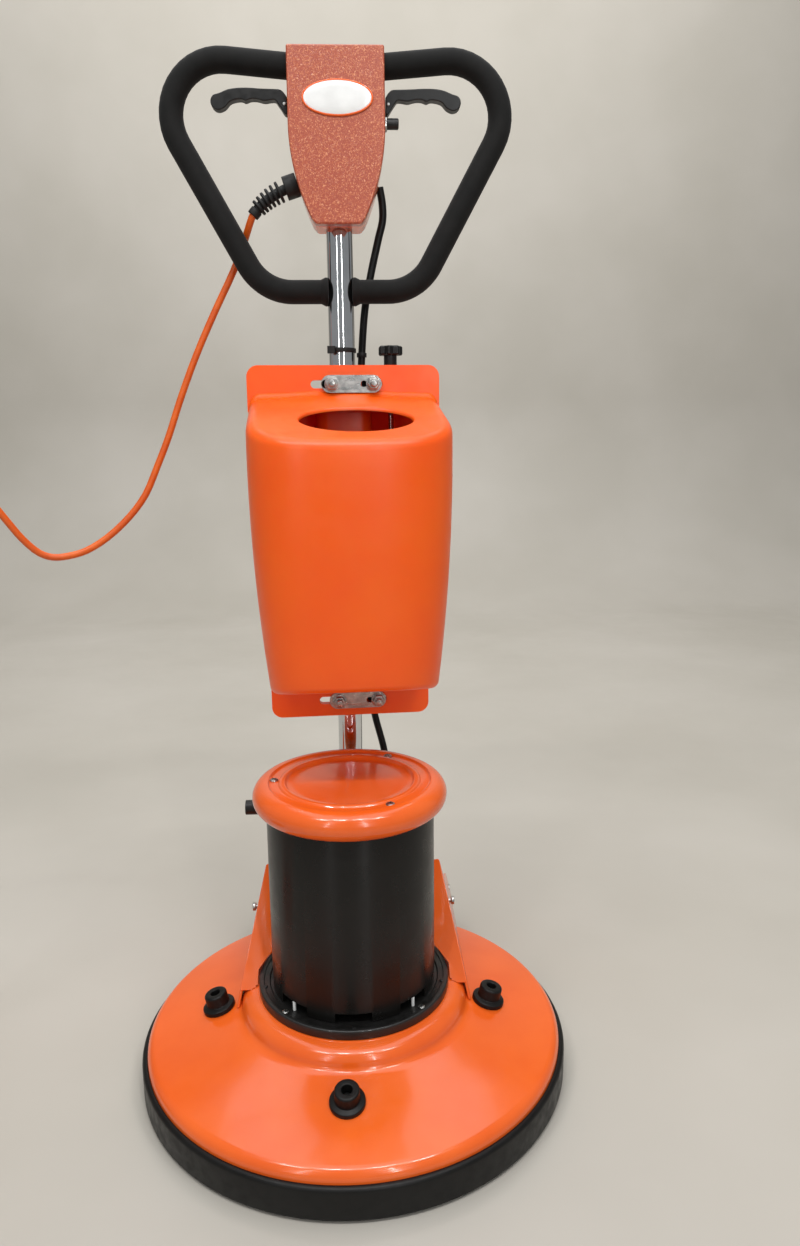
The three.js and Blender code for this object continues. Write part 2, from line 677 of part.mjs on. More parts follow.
// A loft up through sections of equal point count.
function loft(levels) {
  const count = levels[0].points.length;
  const position = [];
  const index = [];
  for (const { points, z } of levels) {
    for (const p of points) position.push(p.x, p.y, z);
  }
  for (let k = 0; k + 1 < levels.length; k++) {
    for (let i = 0; i < count; i++) {
      const a = k * count + i;
      const b = k * count + (i + 1) % count;
      index.push(a, a + count, b, b, a + count, b + count);
    }
  }
  const top = (levels.length - 1) * count;
  for (let i = 1; i + 1 < count; i++) {
    index.push(0, i, i + 1, top, top + i + 1, top + i);
  }
  const geometry = new THREE.BufferGeometry();
  geometry.setAttribute('position', new THREE.Float32BufferAttribute(position, 3));
  geometry.setAttribute('normal', new THREE.Float32BufferAttribute(position.map(() => 0), 3));
  geometry.setAttribute('uv', new THREE.Float32BufferAttribute(position.map(() => 0), 2));
  geometry.setIndex(index);
  return geometry;
}

// Half width and front of the tank by height; heights run past the roof and the floor.
const TANK_LEVELS = [
  { z: 400, half: 89, front: -44 }, { z: 480, half: 97, front: -55 },
  { z: 570, half: 104.5, front: -62 }, { z: 660, half: 109, front: -63 },
  { z: 800, half: 108, front: -57 },
];

function tankBody(inset) {
  const levels = TANK_LEVELS.map(({ z, half, front }) => ({
    z,
    points: tankSection(half - inset, front + inset - POLE_Y, TANK_BACK_Y - inset - POLE_Y,
      20 - POLE_Y),
  }));
  const y = (value) => value - POLE_Y;
  const side = prismX([
    v2(y(-120), 474 + inset), v2(y(-120), 706 - inset), v2(y(PLATE_Y), 768 - inset),
    v2(y(200), 768 - inset), v2(y(200), TANK_FLOOR_Z + inset), v2(y(PLATE_Y), TANK_FLOOR_Z + inset),
  ], -150, 150);
  const channel = prism([
    v2(-CHANNEL_HALF - inset, y(200)), v2(-CHANNEL_HALF - inset, y(CHANNEL_Y + 6)),
    v2(-CHANNEL_HALF + 8, y(CHANNEL_Y - 4 - inset)), v2(CHANNEL_HALF - 8, y(CHANNEL_Y - 4 - inset)),
    v2(CHANNEL_HALF + inset, y(CHANNEL_Y + 6)), v2(CHANNEL_HALF + inset, y(200)),
  ], 380, 820);
  return cut(solid(loft(levels)).intersect(solid(side)), channel);
}

function fixingFlange(half, z0, z1, rounded) {
  const r = 13;
  const [low, high] = rounded > 0 ? [0.5, r] : [r, 0.5];
  const shape = new THREE.Shape([
    ...arc(half - high, z1 - high, high, 0, 90, 3),
    ...arc(high - half, z1 - high, high, 90, 180, 3),
    ...arc(low - half, z0 + low, low, 180, 270, 3),
    ...arc(half - low, z0 + low, low, 270, 360, 3),
  ]);
  return prismY(shape, PLATE_Y - POLE_Y, CHANNEL_Y - POLE_Y);
}

function slot(x0, x1, z) {
  const shape = new THREE.Shape([
    ...arc(x1 - 4.6, z, 4.6, -90, 90, 4), ...arc(x0 + 4.6, z, 4.6, 90, 270, 4),
  ]);
  return prismY(shape, PLATE_Y - POLE_Y - 5, CHANNEL_Y - POLE_Y + 5);
}

function tank() {
  const hole = rod(1, 680, 830, 24).scale(60, 49, 1).translate(7, 8 - POLE_Y, 0);
  const spout = tube(12, 7, 404, TANK_FLOOR_Z + 1, 20).translate(VALVE_X, VALVE_Y - POLE_Y, 0);
  let body = tankBody(0);
  body = body.add(solid(fixingFlange(110, 750, 802, 1)));
  body = body.add(solid(fixingFlange(96, 387, 450, -1))).subtract(tankBody(TANK_WALL));
  body = body.add(solid(spout));
  const valveHoles = [rod(7, 403, 435, 20), rod(4.4, 740, 800, 12)]
    .map((g) => g.translate(VALVE_X, VALVE_Y - POLE_Y, 0));
  const slots = [UPPER_CLAMP_Z, LOWER_CLAMP_Z].flatMap((z) => [slot(-38, -8, z), slot(20, 44, z)]);
  return surface(largest(cut(body, hole, ...valveHoles, ...slots)));
}

function clampBar(z) {
  const r = 9.8;
  const shape = new THREE.Shape([
    ...arc(CLAMP_X + 34.5 - r, z, r, -90, 90, 6), ...arc(CLAMP_X - 34.5 + r, z, r, 90, 270, 6),
  ]);
  const y = PLATE_Y - POLE_Y - GAP;
  const bar = solid(prismY(shape, y - 4, y));
  return surface(cut(bar, ...BOLT_XS.map((x) => rodY(4 + GAP, y - 9, y + 9, x, z, 12))));
}

// A stud with its nut in front of the bar, screwed into the saddle behind the flange.
function clampBolt(x, z) {
  const y = PLATE_Y - POLE_Y - GAP;
  return surface(joined(rodY(4, y - 14, -11.5, x, z, 12), rodY(7, y - 10.6, y - 4.3, x, z, 6)));
}

// The block behind a fixing flange; its collar reaches `drop` further down the pole.
function saddle(z0, z1, z, drop) {
  const blank = joined(block(-20, 42, CHANNEL_Y + GAP - POLE_Y, -6, z0, z1), rod(24, z0, z1, 28),
    rod(18.5, z0 - drop, z0 + 1, 28));
  const front = block(-60, 60, -60, CHANNEL_Y + GAP - POLE_Y, z0 - drop - 1, z1 + 1);
  const studs = BOLT_XS.map((x) => rodY(4 + GAP, -40, -11, x, z, 12));
  return surface(cut(blank, front, rod(POLE_R + GAP, z0 - drop - 1, z1 + 1, 24), ...studs));
}

function valveKnob() {
  const z = 815;
  const outline = [];
  for (let i = 0; i < 28; i++) {
    const a = i * Math.PI / 14;
    const r = 13 + 1.5 * Math.cos(7 * a);
    outline.push(v2(r * Math.cos(a), r * Math.sin(a)));
  }
  const head = prism(outline, z, z + 11);
  return surface(joined(head, rod(6.8, 790, z + 1, 16), rod(3, 442, 792, 10)));
}

add('tank', tank(), tankPlastic(), tankGroup);
for (const [label, z, drop] of [['upper', UPPER_CLAMP_Z, 0], ['lower', LOWER_CLAMP_Z, 11]]) {
  add(`clamp_bar_${label}`, clampBar(z), steel(), tankGroup);
  add(`clamp_saddle_${label}`, saddle(z - 12, z + 12, z, drop), blackPlastic(), tankGroup);
  BOLT_XS.forEach((x, i) => {
    add(`clamp_bolt_${label}_${i + 1}`, clampBolt(x, z), steel(), tankGroup);
  });
}
const valveAt = [VALVE_X, VALVE_Y - POLE_Y, 0];
add('valve_knob', valveKnob(), blackPlastic(), tankGroup).position.set(...valveAt);
add('valve_plug', turned([
  v2(0, 428.5), v2(10, 428.5), v2(10, 432), v2(5, 441.7), v2(0, 441.7),
], 14), rubber(), tankGroup).position.set(...valveAt);

// ---------- motor cable ----------
const upperCable = [
  v3(47, 160.5, 1003), v3(50, 162, 985), v3(50, 162, 968), v3(45, 162, 948), v3(36, 162, 911),
  v3(28, 163, 871), v3(23, 164, 816), v3(21, 164, 770), v3(20, 164, 600), v3(21, 164, 440),
  v3(31, 163, 372), v3(43, 158, 322), v3(50, 146, 270), v3(GLAND_X, 133, 225),
  v3(GLAND_X, 131, 205), v3(GLAND_X, 131, 195),
];
const lowerCable = [
  v3(GLAND_X, 131, 195 - GAP), v3(GLAND_X, 131, 188), v3(GLAND_X, 131, 180),
  v3(GLAND_X, 128.6, 167.8), v3(GLAND_X, 121.6, 157.4), v3(GLAND_X, 111.2, 150.4),
  v3(GLAND_X, 104, 148.2), v3(GLAND_X, 97.4, GLAND_Z),
];

function cable(points, steps, sides) {
  return sweep(new THREE.CatmullRomCurve3(points), CABLE_R, steps, sides);
}

add('motor_cable', cable(upperCable, 36, 8), rubber());
add('motor_cable_tail', cable(lowerCable, 10, 8), rubber());

// ---------- power cord ----------
const cordRoute = [
  v3(-96.4, 135, 967.8), v3(-98.6, 136.2, 964), v3(-102, 139.6, 957), v3(-106.4, 145.6, 948),
  v3(-112.8, 153.8, 935.5), v3(-124, 157.5, 912), v3(-147, 156, 868), v3(-171, 152, 818),
  v3(-192, 148, 767), v3(-208, 144, 723), v3(-222, 140, 690), v3(-237, 135, 657),
  v3(-256, 130, 632), v3(-282, 122, 608), v3(-306, 115, 593.5), v3(-325, 109, 588.5),
  v3(-341, 103, 588), v3(-354, 97, 594), v3(-369, 90, 611), v3(-382, 84, 632),
  v3(-396, 78, 655), v3(-414, 70, 678), v3(-438, 60, 691), v3(-464, 50, 685),
  v3(-484, 42, 658), v3(-493, 36, 615), v3(-496, 30, 540), v3(-497, 24, 440),
  v3(-498, 18, 320), v3(-498, 13, 200), v3(-498, 7, 120), v3(-498, -5, 80),
  v3(-498, -24, 62), v3(-499, -42, 58),
];

// A moulded three-pin plug that lies on the coil.
function plug() {
  const body = prism([
    v2(-9, 0), v2(9, 0), v2(18, 12), v2(18, 34), v2(-18, 34), v2(-18, 12),
  ], 0, 24);
  const sleeve = rodY(7, -16, 1, 0, 12, 12);
  const pins = [[-8, 8], [8, 8], [0, 18]].map(([x, z]) =>
    block(x - 3, x + 3, 33, 52, z - 0.8, z + 0.8));
  return surface(joined(body, sleeve, ...pins));
}

add('power_cord', cable(cordRoute, 80, 8), orangeCord());
add('cord_coil', tube(COIL_R + COIL_HALF_W, COIL_R - COIL_HALF_W, 0, COIL_H, 28), orangeCord())
  .position.set(COIL_X, COIL_Y, 0);
add('cord_plug', plug(), rubber()).position.set(COIL_X - COIL_R, COIL_Y - 10, COIL_H + GAP);

export default part;
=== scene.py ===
import json
import random
from math import atan, atan2, copysign, cos, degrees, pi, radians, sin, tan

import bmesh
import bpy
from mathutils import Matrix, Vector


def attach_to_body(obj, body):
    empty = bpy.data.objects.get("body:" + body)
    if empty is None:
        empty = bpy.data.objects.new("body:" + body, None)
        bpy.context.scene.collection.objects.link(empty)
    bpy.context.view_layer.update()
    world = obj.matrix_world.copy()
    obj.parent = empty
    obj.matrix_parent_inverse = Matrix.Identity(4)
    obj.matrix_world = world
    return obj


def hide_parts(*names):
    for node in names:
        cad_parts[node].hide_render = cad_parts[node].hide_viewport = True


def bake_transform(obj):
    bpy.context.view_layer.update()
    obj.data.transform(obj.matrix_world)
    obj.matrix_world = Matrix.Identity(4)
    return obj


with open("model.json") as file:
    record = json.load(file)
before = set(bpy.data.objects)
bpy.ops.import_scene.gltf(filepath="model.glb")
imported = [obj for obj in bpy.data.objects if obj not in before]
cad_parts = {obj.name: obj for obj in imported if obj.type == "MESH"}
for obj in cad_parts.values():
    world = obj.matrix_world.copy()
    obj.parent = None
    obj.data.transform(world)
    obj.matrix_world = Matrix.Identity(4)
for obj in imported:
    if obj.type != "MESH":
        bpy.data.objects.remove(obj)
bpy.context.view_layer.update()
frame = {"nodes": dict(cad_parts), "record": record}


def at(x, y, z=0):
    return Matrix.Translation((x, y, z))


def turn(angle, axis="Z"):
    return Matrix.Rotation(radians(angle), 4, axis)


# Shapes are written in millimetres about the motor's axis, with the operator at +Y, and the
# places below carry them into the frame in metres.
POLE_Y = 135
MOTOR_AXIS_Y = -0.0455        # in the frame, in metres
TANK_TURN = 3.7               # degrees, round the pole
MACHINE = at(0, MOTOR_AXIS_Y) @ Matrix.Scale(0.001, 4)
TANK = MACHINE @ at(0, POLE_Y) @ turn(TANK_TURN)

SIDES = (("left", -1), ("right", 1))

CORD_DIAMETER = 0.008


# ---------- outlines and solids ----------
def arc(x, y, radius, start, end, steps):
    points = []
    for i in range(steps + 1):
        a = radians(start + (end - start) * i / steps)
        points.append((x + radius * cos(a), y + radius * sin(a)))
    return points


def oval(half_width, half_height, z, steps):
    turns = [2 * pi * i / steps for i in range(steps)]
    return [(half_width * cos(a), half_height * sin(a), z) for a in turns]


def rounded(corners, steps=6):
    """A closed outline from (x, y, radius) corners, each corner rounded by its own radius."""
    points = []
    for i, (x, y, radius) in enumerate(corners):
        here = Vector((x, y))
        before = Vector(corners[i - 1][:2]) - here
        after = Vector(corners[(i + 1) % len(corners)][:2]) - here
        if radius <= 0:
            points.append((x, y))
            continue
        before.normalize()
        after.normalize()
        half = before.angle(after) / 2
        centre = here + (before + after).normalized() * radius / sin(half)
        a = here + before * radius / tan(half) - centre
        b = here + after * radius / tan(half) - centre
        opening = a.angle_signed(b)
        for k in range(steps + 1):
            spoke = a.copy()
            spoke.rotate(Matrix.Rotation(-opening * k / steps, 2))
            points.append(tuple(centre + spoke))
    return points


def rectangle(x0, y0, x1, y1, radius=0, steps=6):
    return rounded([(x0, y0, radius), (x1, y0, radius), (x1, y1, radius), (x0, y1, radius)], steps)


def skin(rings, count, loop=False):
    """Faces between rings of count vertices each, and from the last ring to the first in a loop."""
    faces = []
    for k in range(rings if loop else rings - 1):
        base, after = k * count, (k + 1) % rings * count
        for i in range(count):
            j = (i + 1) % count
            faces.append((base + i, base + j, after + j, after + i))
    return faces


def lathe(outline, segments):
    """A body of revolution about Z from a closed (radius, height) outline."""
    vertices = []
    for k in range(segments):
        a = 2 * pi * k / segments
        vertices += [(r * cos(a), r * sin(a), z) for r, z in outline]
    return vertices, skin(segments, len(outline), loop=True)


def prism(outline, low, high):
    """An (x, y) outline pushed up from low to high."""
    count = len(outline)
    vertices = [(x, y, low) for x, y in outline] + [(x, y, high) for x, y in outline]
    return vertices, [tuple(range(count))[::-1], tuple(range(count, 2 * count)), *skin(2, count)]


def moved(shape, matrix):
    vertices, faces = shape
    return [tuple(matrix @ Vector(v)) for v in vertices], faces


def shifted(shape, x=0, y=0, z=0):
    return moved(shape, at(x, y, z))


def turned(shape, angle, axis="Z"):
    return moved(shape, turn(angle, axis))


def prism_y(outline, low, high):
    """An (x, z) outline pushed back from y = low to y = high."""
    return turned(prism(outline, -high, -low), 90, "X")


def prism_x(outline, low, high):
    """A (y, z) outline pushed from x = low to x = high."""
    return turned(turned(prism(outline, low, high), 90, "X"), 90, "Z")


def around(angle, distance, height):
    """A place at an angle round the motor's axis."""
    return turn(angle) @ at(distance, 0, height)


def together(*shapes):
    vertices, faces = [], []
    for more_vertices, more_faces in shapes:
        shift = len(vertices)
        vertices += more_vertices
        faces += [tuple(i + shift for i in face) for face in more_faces]
    return vertices, faces


def along(points, closed=False):
    """The points with the running direction at each of them."""
    count = len(points)
    pairs = []
    for i in range(count):
        a = points[(i - 1) % count] if closed or i > 0 else points[i]
        b = points[(i + 1) % count] if closed or i + 1 < count else points[i]
        pairs.append((points[i], (b - a).normalized()))
    return pairs


def sweep(path, radius, sides=16, closed=False):
    """A round tube along a path in space."""
    points = [Vector(p) for p in path]
    count = len(points)
    normal = None
    vertices = []
    for point, ahead in along(points, closed):
        if normal is None:
            normal = ahead.orthogonal().normalized()
        normal = (normal - ahead * normal.dot(ahead)).normalized()
        across = ahead.cross(normal)
        for i in range(sides):
            a = 2 * pi * i / sides
            vertices.append(tuple(point + (normal * cos(a) + across * sin(a)) * radius))
    faces = skin(count, sides, closed)
    if not closed:
        faces.append(tuple(range(sides))[::-1])
        faces.append(tuple(range((count - 1) * sides, count * sides)))
    return vertices, faces


def smooth_path(points, steps):
    """The centripetal Catmull-Rom curve through the points."""
    knots = [Vector(p) for p in points]
    knots = [2 * knots[0] - knots[1], *knots, 2 * knots[-1] - knots[-2]]
    path = []
    for p0, p1, p2, p3 in zip(knots, knots[1:], knots[2:], knots[3:]):
        t1 = (p1 - p0).length ** 0.5
        t2 = t1 + (p2 - p1).length ** 0.5
        t3 = t2 + (p3 - p2).length ** 0.5
        for i in range(steps):
            t = t1 + (t2 - t1) * i / steps
            a = p0.lerp(p1, t / t1)
            b = p1.lerp(p2, (t - t1) / (t2 - t1))
            c = p2.lerp(p3, (t - t2) / (t3 - t2))
            path.append(a.lerp(b, t / t2).lerp(b.lerp(c, (t - t1) / (t3 - t1)), (t - t1) / (t2 - t1)))
    path.append(knots[-2])
    return path


def cornered_path(corners, radius, steps=14):
    """The path through corner points in space, each inner corner an arc."""
    points = [Vector(corners[0])]
    for before, here, after in zip(corners, corners[1:], corners[2:]):
        here = Vector(here)
        a = (Vector(before) - here).normalized()
        b = (Vector(after) - here).normalized()
        half = a.angle(b) / 2
        centre = here + (a + b).normalized() * radius / sin(half)
        start = here + a * radius / tan(half) - centre
        end = here + b * radius / tan(half) - centre
        for k in range(steps + 1):
            points.append(centre + start.normalized().slerp(end.normalized(), k / steps) * radius)
    points.append(Vector(corners[-1]))
    return points


def densely(points, spacing):
    """The same path with its long straight runs divided."""
    path = [points[0]]
    for a, b in zip(points, points[1:]):
        steps = max(1, round((b - a).length / spacing))
        path += [a.lerp(b, k / steps) for k in range(1, steps + 1)]
    return path


# ---------- objects ----------
def new_object(name, data):
    thing = bpy.data.objects.new(name, data)
    bpy.context.collection.objects.link(thing)
    return thing


def place_mesh(name, shape, place):
    vertices, faces = shape
    mesh = bpy.data.meshes.new(name)
    mesh.from_pydata([place @ Vector(v) for v in vertices], [], faces)
    work = bmesh.new()
    work.from_mesh(mesh)
    bmesh.ops.remove_doubles(work, verts=work.verts, dist=1e-6)
    bmesh.ops.recalc_face_normals(work, faces=work.faces)
    work.to_mesh(mesh)
    work.free()
    return new_object(name, mesh)


def finish_mesh(piece, material, sharp=35, bevel=0, segments=3):
    piece.data.materials.clear()
    piece.data.materials.append(material)
    piece.data.shade_smooth()
    piece.data.set_sharp_from_angle(angle=radians(sharp))
    if bevel:
        edge = piece.modifiers.new("edges", "BEVEL")
        edge.width = bevel / 1000
        edge.segments = segments
        edge.limit_method = "ANGLE"
        edge.angle_limit = radians(sharp)
        edge.harden_normals = True


def make(name, shape, body, material, nodes=(), place=MACHINE, **finish):
    """A new piece that rides on a body and stands for the named CAD nodes."""
    piece = place_mesh(name, shape, place)
    finish_mesh(piece, material, **finish)
    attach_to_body(piece, body)
    if nodes:
        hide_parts(*nodes)
    return piece


def softened(node, body, material, bevel):
    """A piece of the CAD node's own shape with its facets merged and its edges rounded."""
    piece = place_mesh(f"{node}_soft", ([], []), Matrix())
    work = bmesh.new()
    work.from_mesh(frame["nodes"][node].data)
    bmesh.ops.remove_doubles(work, verts=work.verts, dist=1e-6)
    bmesh.ops.dissolve_limit(work, angle_limit=radians(2), verts=work.verts, edges=work.edges)
    work.to_mesh(piece.data)
    work.free()
    finish_mesh(piece, material, bevel=bevel)
    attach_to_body(piece, body)
    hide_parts(node)
    return piece


def attach(piece, owner):
    """Makes the piece a part of its owner."""
    piece.parent = owner
    piece.matrix_parent_inverse = owner.matrix_world.inverted()


def carve(piece, *cutters):
    """Cuts each cutter's shape, given in the machine's frame, out of a piece."""
    for shape in cutters:
        tool = place_mesh("cutter", shape, MACHINE)
        cut = piece.modifiers.new("cut", "BOOLEAN")
        cut.object = tool
        cut.operation = "DIFFERENCE"
        bpy.context.view_layer.update()
        graph = bpy.context.evaluated_depsgraph_get()
        piece.data = bpy.data.meshes.new_from_object(piece.evaluated_get(graph))
        piece.modifiers.clear()
        bpy.data.objects.remove(tool)


SLOT_OF = {entry["node"]: entry["material_slot"] for entry in frame["record"]["subparts"]}


# ---------- materials ----------
def srgb(red, green, blue):
    def linear(value):
        v = value / 255
        return v / 12.92 if v <= 0.04045 else ((v + 0.055) / 1.055) ** 2.4
    return linear(red), linear(green), linear(blue), 1.0


def set_inputs(node, values):
    for name, value in values.items():
        node.inputs[name].default_value = value


class Finish:
    """A material whose colour, roughness and relief come from noise in the object's space."""

    def __init__(self, name, roughness, metallic=0.0, coat=0.0, specular=0.5, sheen=0.0):
        self.material = bpy.data.materials.new(name)
        self.material.use_nodes = True
        self.nodes = self.material.node_tree.nodes
        self.links = self.material.node_tree.links
        self.shader = self.nodes["Principled BSDF"]
        set_inputs(self.shader, {
            "Roughness": roughness, "Metallic": metallic, "Specular IOR Level": specular,
            "Coat Weight": coat, "Coat Roughness": 0.08, "Sheen Weight": sheen,
        })
        self.place = self.nodes.new("ShaderNodeTexCoord").outputs["Object"]
        self.normal = None

    def stretched(self, x, y, z):
        node = self.nodes.new("ShaderNodeMapping")
        set_inputs(node, {"Scale": (x, y, z)})
        self.links.new(self.place, node.inputs["Vector"])
        return node.outputs["Vector"]

    def noise(self, scale, detail=3.0, place=None, distortion=0.0):
        node = self.nodes.new("ShaderNodeTexNoise")
        set_inputs(node, {"Scale": scale, "Detail": detail, "Distortion": distortion})
        self.links.new(place or self.place, node.inputs["Vector"])
        return node.outputs["Fac"]

    def cells(self, scale):
        node = self.nodes.new("ShaderNodeTexVoronoi")
        set_inputs(node, {"Scale": scale})
        self.links.new(self.place, node.inputs["Vector"])
        return node.outputs["Distance"]

    def colour(self, factor, *stops):
        """Colours by the factor; each stop is (position, (red, green, blue))."""
        ramp = self.nodes.new("ShaderNodeValToRGB")
        elements = ramp.color_ramp.elements
        while len(elements) < len(stops):
            elements.new(0.5)
        for element, (position, tone) in zip(elements, stops):
            element.position = position
            element.color = srgb(*tone)
        self.links.new(factor, ramp.inputs["Fac"])
        self.links.new(ramp.outputs["Color"], self.shader.inputs["Base Color"])

    def rough(self, factor, low, high):
        node = self.nodes.new("ShaderNodeMapRange")
        set_inputs(node, {"From Min": 0.35, "From Max": 0.65, "To Min": low, "To Max": high})
        self.links.new(factor, node.inputs["Value"])
        self.links.new(node.outputs["Result"], self.shader.inputs["Roughness"])

    def relief(self, height, depth_mm, strength):
        node = self.nodes.new("ShaderNodeBump")
        set_inputs(node, {"Distance": depth_mm / 1000, "Strength": strength})
        self.links.new(height, node.inputs["Height"])
        if self.normal:
            self.links.new(self.normal, node.inputs["Normal"])
        self.normal = node.outputs["Normal"]
        self.links.new(self.normal, self.shader.inputs["Normal"])


def orange_paint():
    f = Finish("orange_paint", 0.2, coat=0.3)
    f.colour(f.noise(14, 4), (0.35, (228, 93, 27)), (0.65, (234, 101, 33)))
    f.rough(f.noise(60, 4), 0.16, 0.24)
    f.relief(f.noise(420, 2), 0.03, 0.4)
    return f.material


def hammertone():
    f = Finish("orange_hammertone", 0.3, coat=0.3)
    fleck = f.noise(640, 1.5, distortion=1.2)
    f.colour(fleck, (0.42, (158, 66, 40)), (0.55, (172, 78, 48)), (0.68, (216, 146, 108)))
    f.rough(fleck, 0.42, 0.22)
    f.relief(fleck, 0.3, 0.8)
    f.relief(f.noise(2400, 1), 0.03, 0.3)
    return f.material


def tank_plastic():
    f = Finish("tank_plastic", 0.36)
    set_inputs(f.shader, {
        "Subsurface Weight": 0.25, "Subsurface Radius": (1.0, 0.22, 0.06), "Subsurface Scale": 0.012,
    })
    f.colour(f.noise(9, 4), (0.35, (246, 86, 4)), (0.65, (250, 96, 8)))
    f.rough(f.noise(45, 5), 0.32, 0.42)
    f.relief(f.noise(260, 3), 0.06, 0.35)
    f.relief(f.noise(12, 2), 0.5, 0.12)
    return f.material


def gloss_black():
    """Paint on rolled sheet, so its highlights draw out up and down the shell."""
    f = Finish("gloss_black", 0.3, coat=0.05, specular=0.3)
    set_inputs(f.shader, {"Anisotropic": 0.8, "Anisotropic Rotation": 0.25})
    tangent = f.nodes.new("ShaderNodeTangent")
    tangent.direction_type = "RADIAL"
    tangent.axis = "Z"
    f.links.new(tangent.outputs["Tangent"], f.shader.inputs["Tangent"])
    f.colour(f.noise(20, 4), (0.3, (11, 10, 8)), (0.7, (17, 15, 13)))
    f.rough(f.noise(50, 4), 0.26, 0.34)
    f.relief(f.noise(500, 2), 0.02, 0.3)
    return f.material


def cast_black():
    f = Finish("cast_black", 0.4, coat=0.15)
    grain = f.noise(900, 3)
    f.colour(grain, (0.35, (8, 8, 7)), (0.7, (26, 25, 24)))
    f.rough(f.noise(120, 4), 0.34, 0.5)
    f.relief(grain, 0.15, 0.7)
    return f.material


def rubber(name, tone, roughness):
    f = Finish(name, roughness, specular=0.25)
    dark = tuple(0.75 * c for c in tone)
    f.colour(f.noise(35, 5), (0.35, dark), (0.7, tone))
    f.rough(f.noise(90, 5), roughness - 0.08, roughness + 0.08)
    f.relief(f.noise(1300, 2), 0.05, 0.5)
    return f.material


def foam():
    f = Finish("foam_grip", 0.8, specular=0.25, sheen=0.05)
    f.colour(f.noise(60, 5), (0.35, (11, 11, 10)), (0.7, (19, 18, 17)))
    f.relief(f.cells(1500), 0.15, 0.5)
    f.relief(f.noise(180, 4), 0.25, 0.35)
    return f.material


def moulded_black(name, roughness=0.38):
    f = Finish(name, roughness, specular=0.4)
    f.colour(f.noise(30, 4), (0.35, (11, 11, 10)), (0.7, (20, 19, 18)))
    f.rough(f.noise(150, 4), roughness - 0.07, roughness + 0.1)
    f.relief(f.noise(1600, 2), 0.04, 0.45)
    return f.material


def chrome():
    f = Finish("chrome", 0.08, metallic=1.0)
    f.colour(f.noise(25, 3), (0.35, (200, 202, 204)), (0.65, (218, 219, 220)))
    f.rough(f.noise(70, 5, f.stretched(1, 1, 0.05)), 0.04, 0.1)
    f.relief(f.noise(300, 2, f.stretched(1, 1, 0.03)), 0.02, 0.2)
    return f.material


def zinc_steel():
    f = Finish("zinc_steel", 0.32, metallic=1.0)
    f.colour(f.noise(180, 4), (0.35, (150, 150, 148)), (0.7, (188, 187, 183)))
    f.rough(f.noise(260, 5, f.stretched(0.1, 1, 1)), 0.22, 0.42)
    f.relief(f.noise(900, 2, f.stretched(0.08, 1, 1)), 0.04, 0.5)
    return f.material


def cast_iron():
    f = Finish("cast_iron", 0.6, metallic=0.8)
    f.colour(f.noise(120, 5), (0.35, (74, 75, 77)), (0.7, (104, 104, 104)))
    f.relief(f.noise(600, 4), 0.2, 0.6)
    return f.material


def badge_white():
    f = Finish("badge_white", 0.2, coat=0.6)
    f.colour(f.noise(40, 4), (0.35, (222, 222, 220)), (0.65, (234, 234, 232)))
    f.relief(f.noise(300, 2), 0.03, 0.3)
    return f.material


def orange_cord():
    f = Finish("orange_cord", 0.42)
    f.colour(f.noise(50, 4), (0.35, (206, 82, 8)), (0.7, (222, 98, 16)))
    f.rough(f.noise(140, 4), 0.36, 0.52)
    f.relief(f.noise(700, 3), 0.05, 0.5)
    return f.material


def grey_plastic():
    f = Finish("grey_plastic", 0.5)
    f.colour(f.noise(40, 4), (0.35, (78, 80, 82)), (0.7, (96, 98, 100)))
    f.relief(f.noise(900, 2), 0.05, 0.5)
    return f.material


def pad_fibre():
    f = Finish("pad_fibre", 0.95, sheen=0.3)
    strands = f.noise(700, 6, distortion=2.0)
    f.colour(strands, (0.35, (22, 22, 24)), (0.7, (66, 66, 70)))
    f.relief(strands, 1.2, 0.9)
    return f.material


def floor_finish():
    f = Finish("pale_floor", 0.42)
    f.colour(f.noise(1.6, 5), (0.35, (176, 171, 161)), (0.7, (185, 180, 171)))
    f.rough(f.noise(6, 5), 0.36, 0.5)
    f.relief(f.noise(90, 3), 0.1, 0.2)
    return f.material


PAINT = orange_paint()
HAMMERTONE = hammertone()
TANK_PLASTIC = tank_plastic()
GLOSS_BLACK = gloss_black()
CAST_BLACK = cast_black()
BUMPER_RUBBER = rubber("bumper_rubber", (16, 15, 14), 0.42)
PEG_RUBBER = rubber("peg_rubber", (18, 17, 16), 0.45)
TYRE_RUBBER = rubber("tyre_rubber", (34, 33, 32), 0.7)
CABLE_BLACK = rubber("cable_black", (18, 17, 16), 0.4)
FOAM = foam()
MOULDED = moulded_black("moulded_black")
SATIN_BLACK = moulded_black("satin_black", 0.55)
CHROME = chrome()
STEEL = zinc_steel()
IRON = cast_iron()
WHITE = badge_white()
ORANGE_CORD = orange_cord()
GREY = grey_plastic()
FIBRE = pad_fibre()

SLOT_FINISH = {
    "orange_paint": PAINT, "orange_hammertone": HAMMERTONE, "orange_plastic": TANK_PLASTIC,
    "black_paint": GLOSS_BLACK, "black_plastic": SATIN_BLACK, "grey_plastic": GREY,
    "badge_plastic": WHITE, "black_rubber": PEG_RUBBER, "cable_black": CABLE_BLACK,
    "cord_orange": ORANGE_CORD, "tyre": TYRE_RUBBER, "chrome": CHROME, "zinc_steel": STEEL,
    "cast_iron": IRON, "pad_fibre": FIBRE,
}
for node_name, node in frame["nodes"].items():
    node.data.materials.clear()
    node.data.materials.append(SLOT_FINISH[SLOT_OF[node_name]])


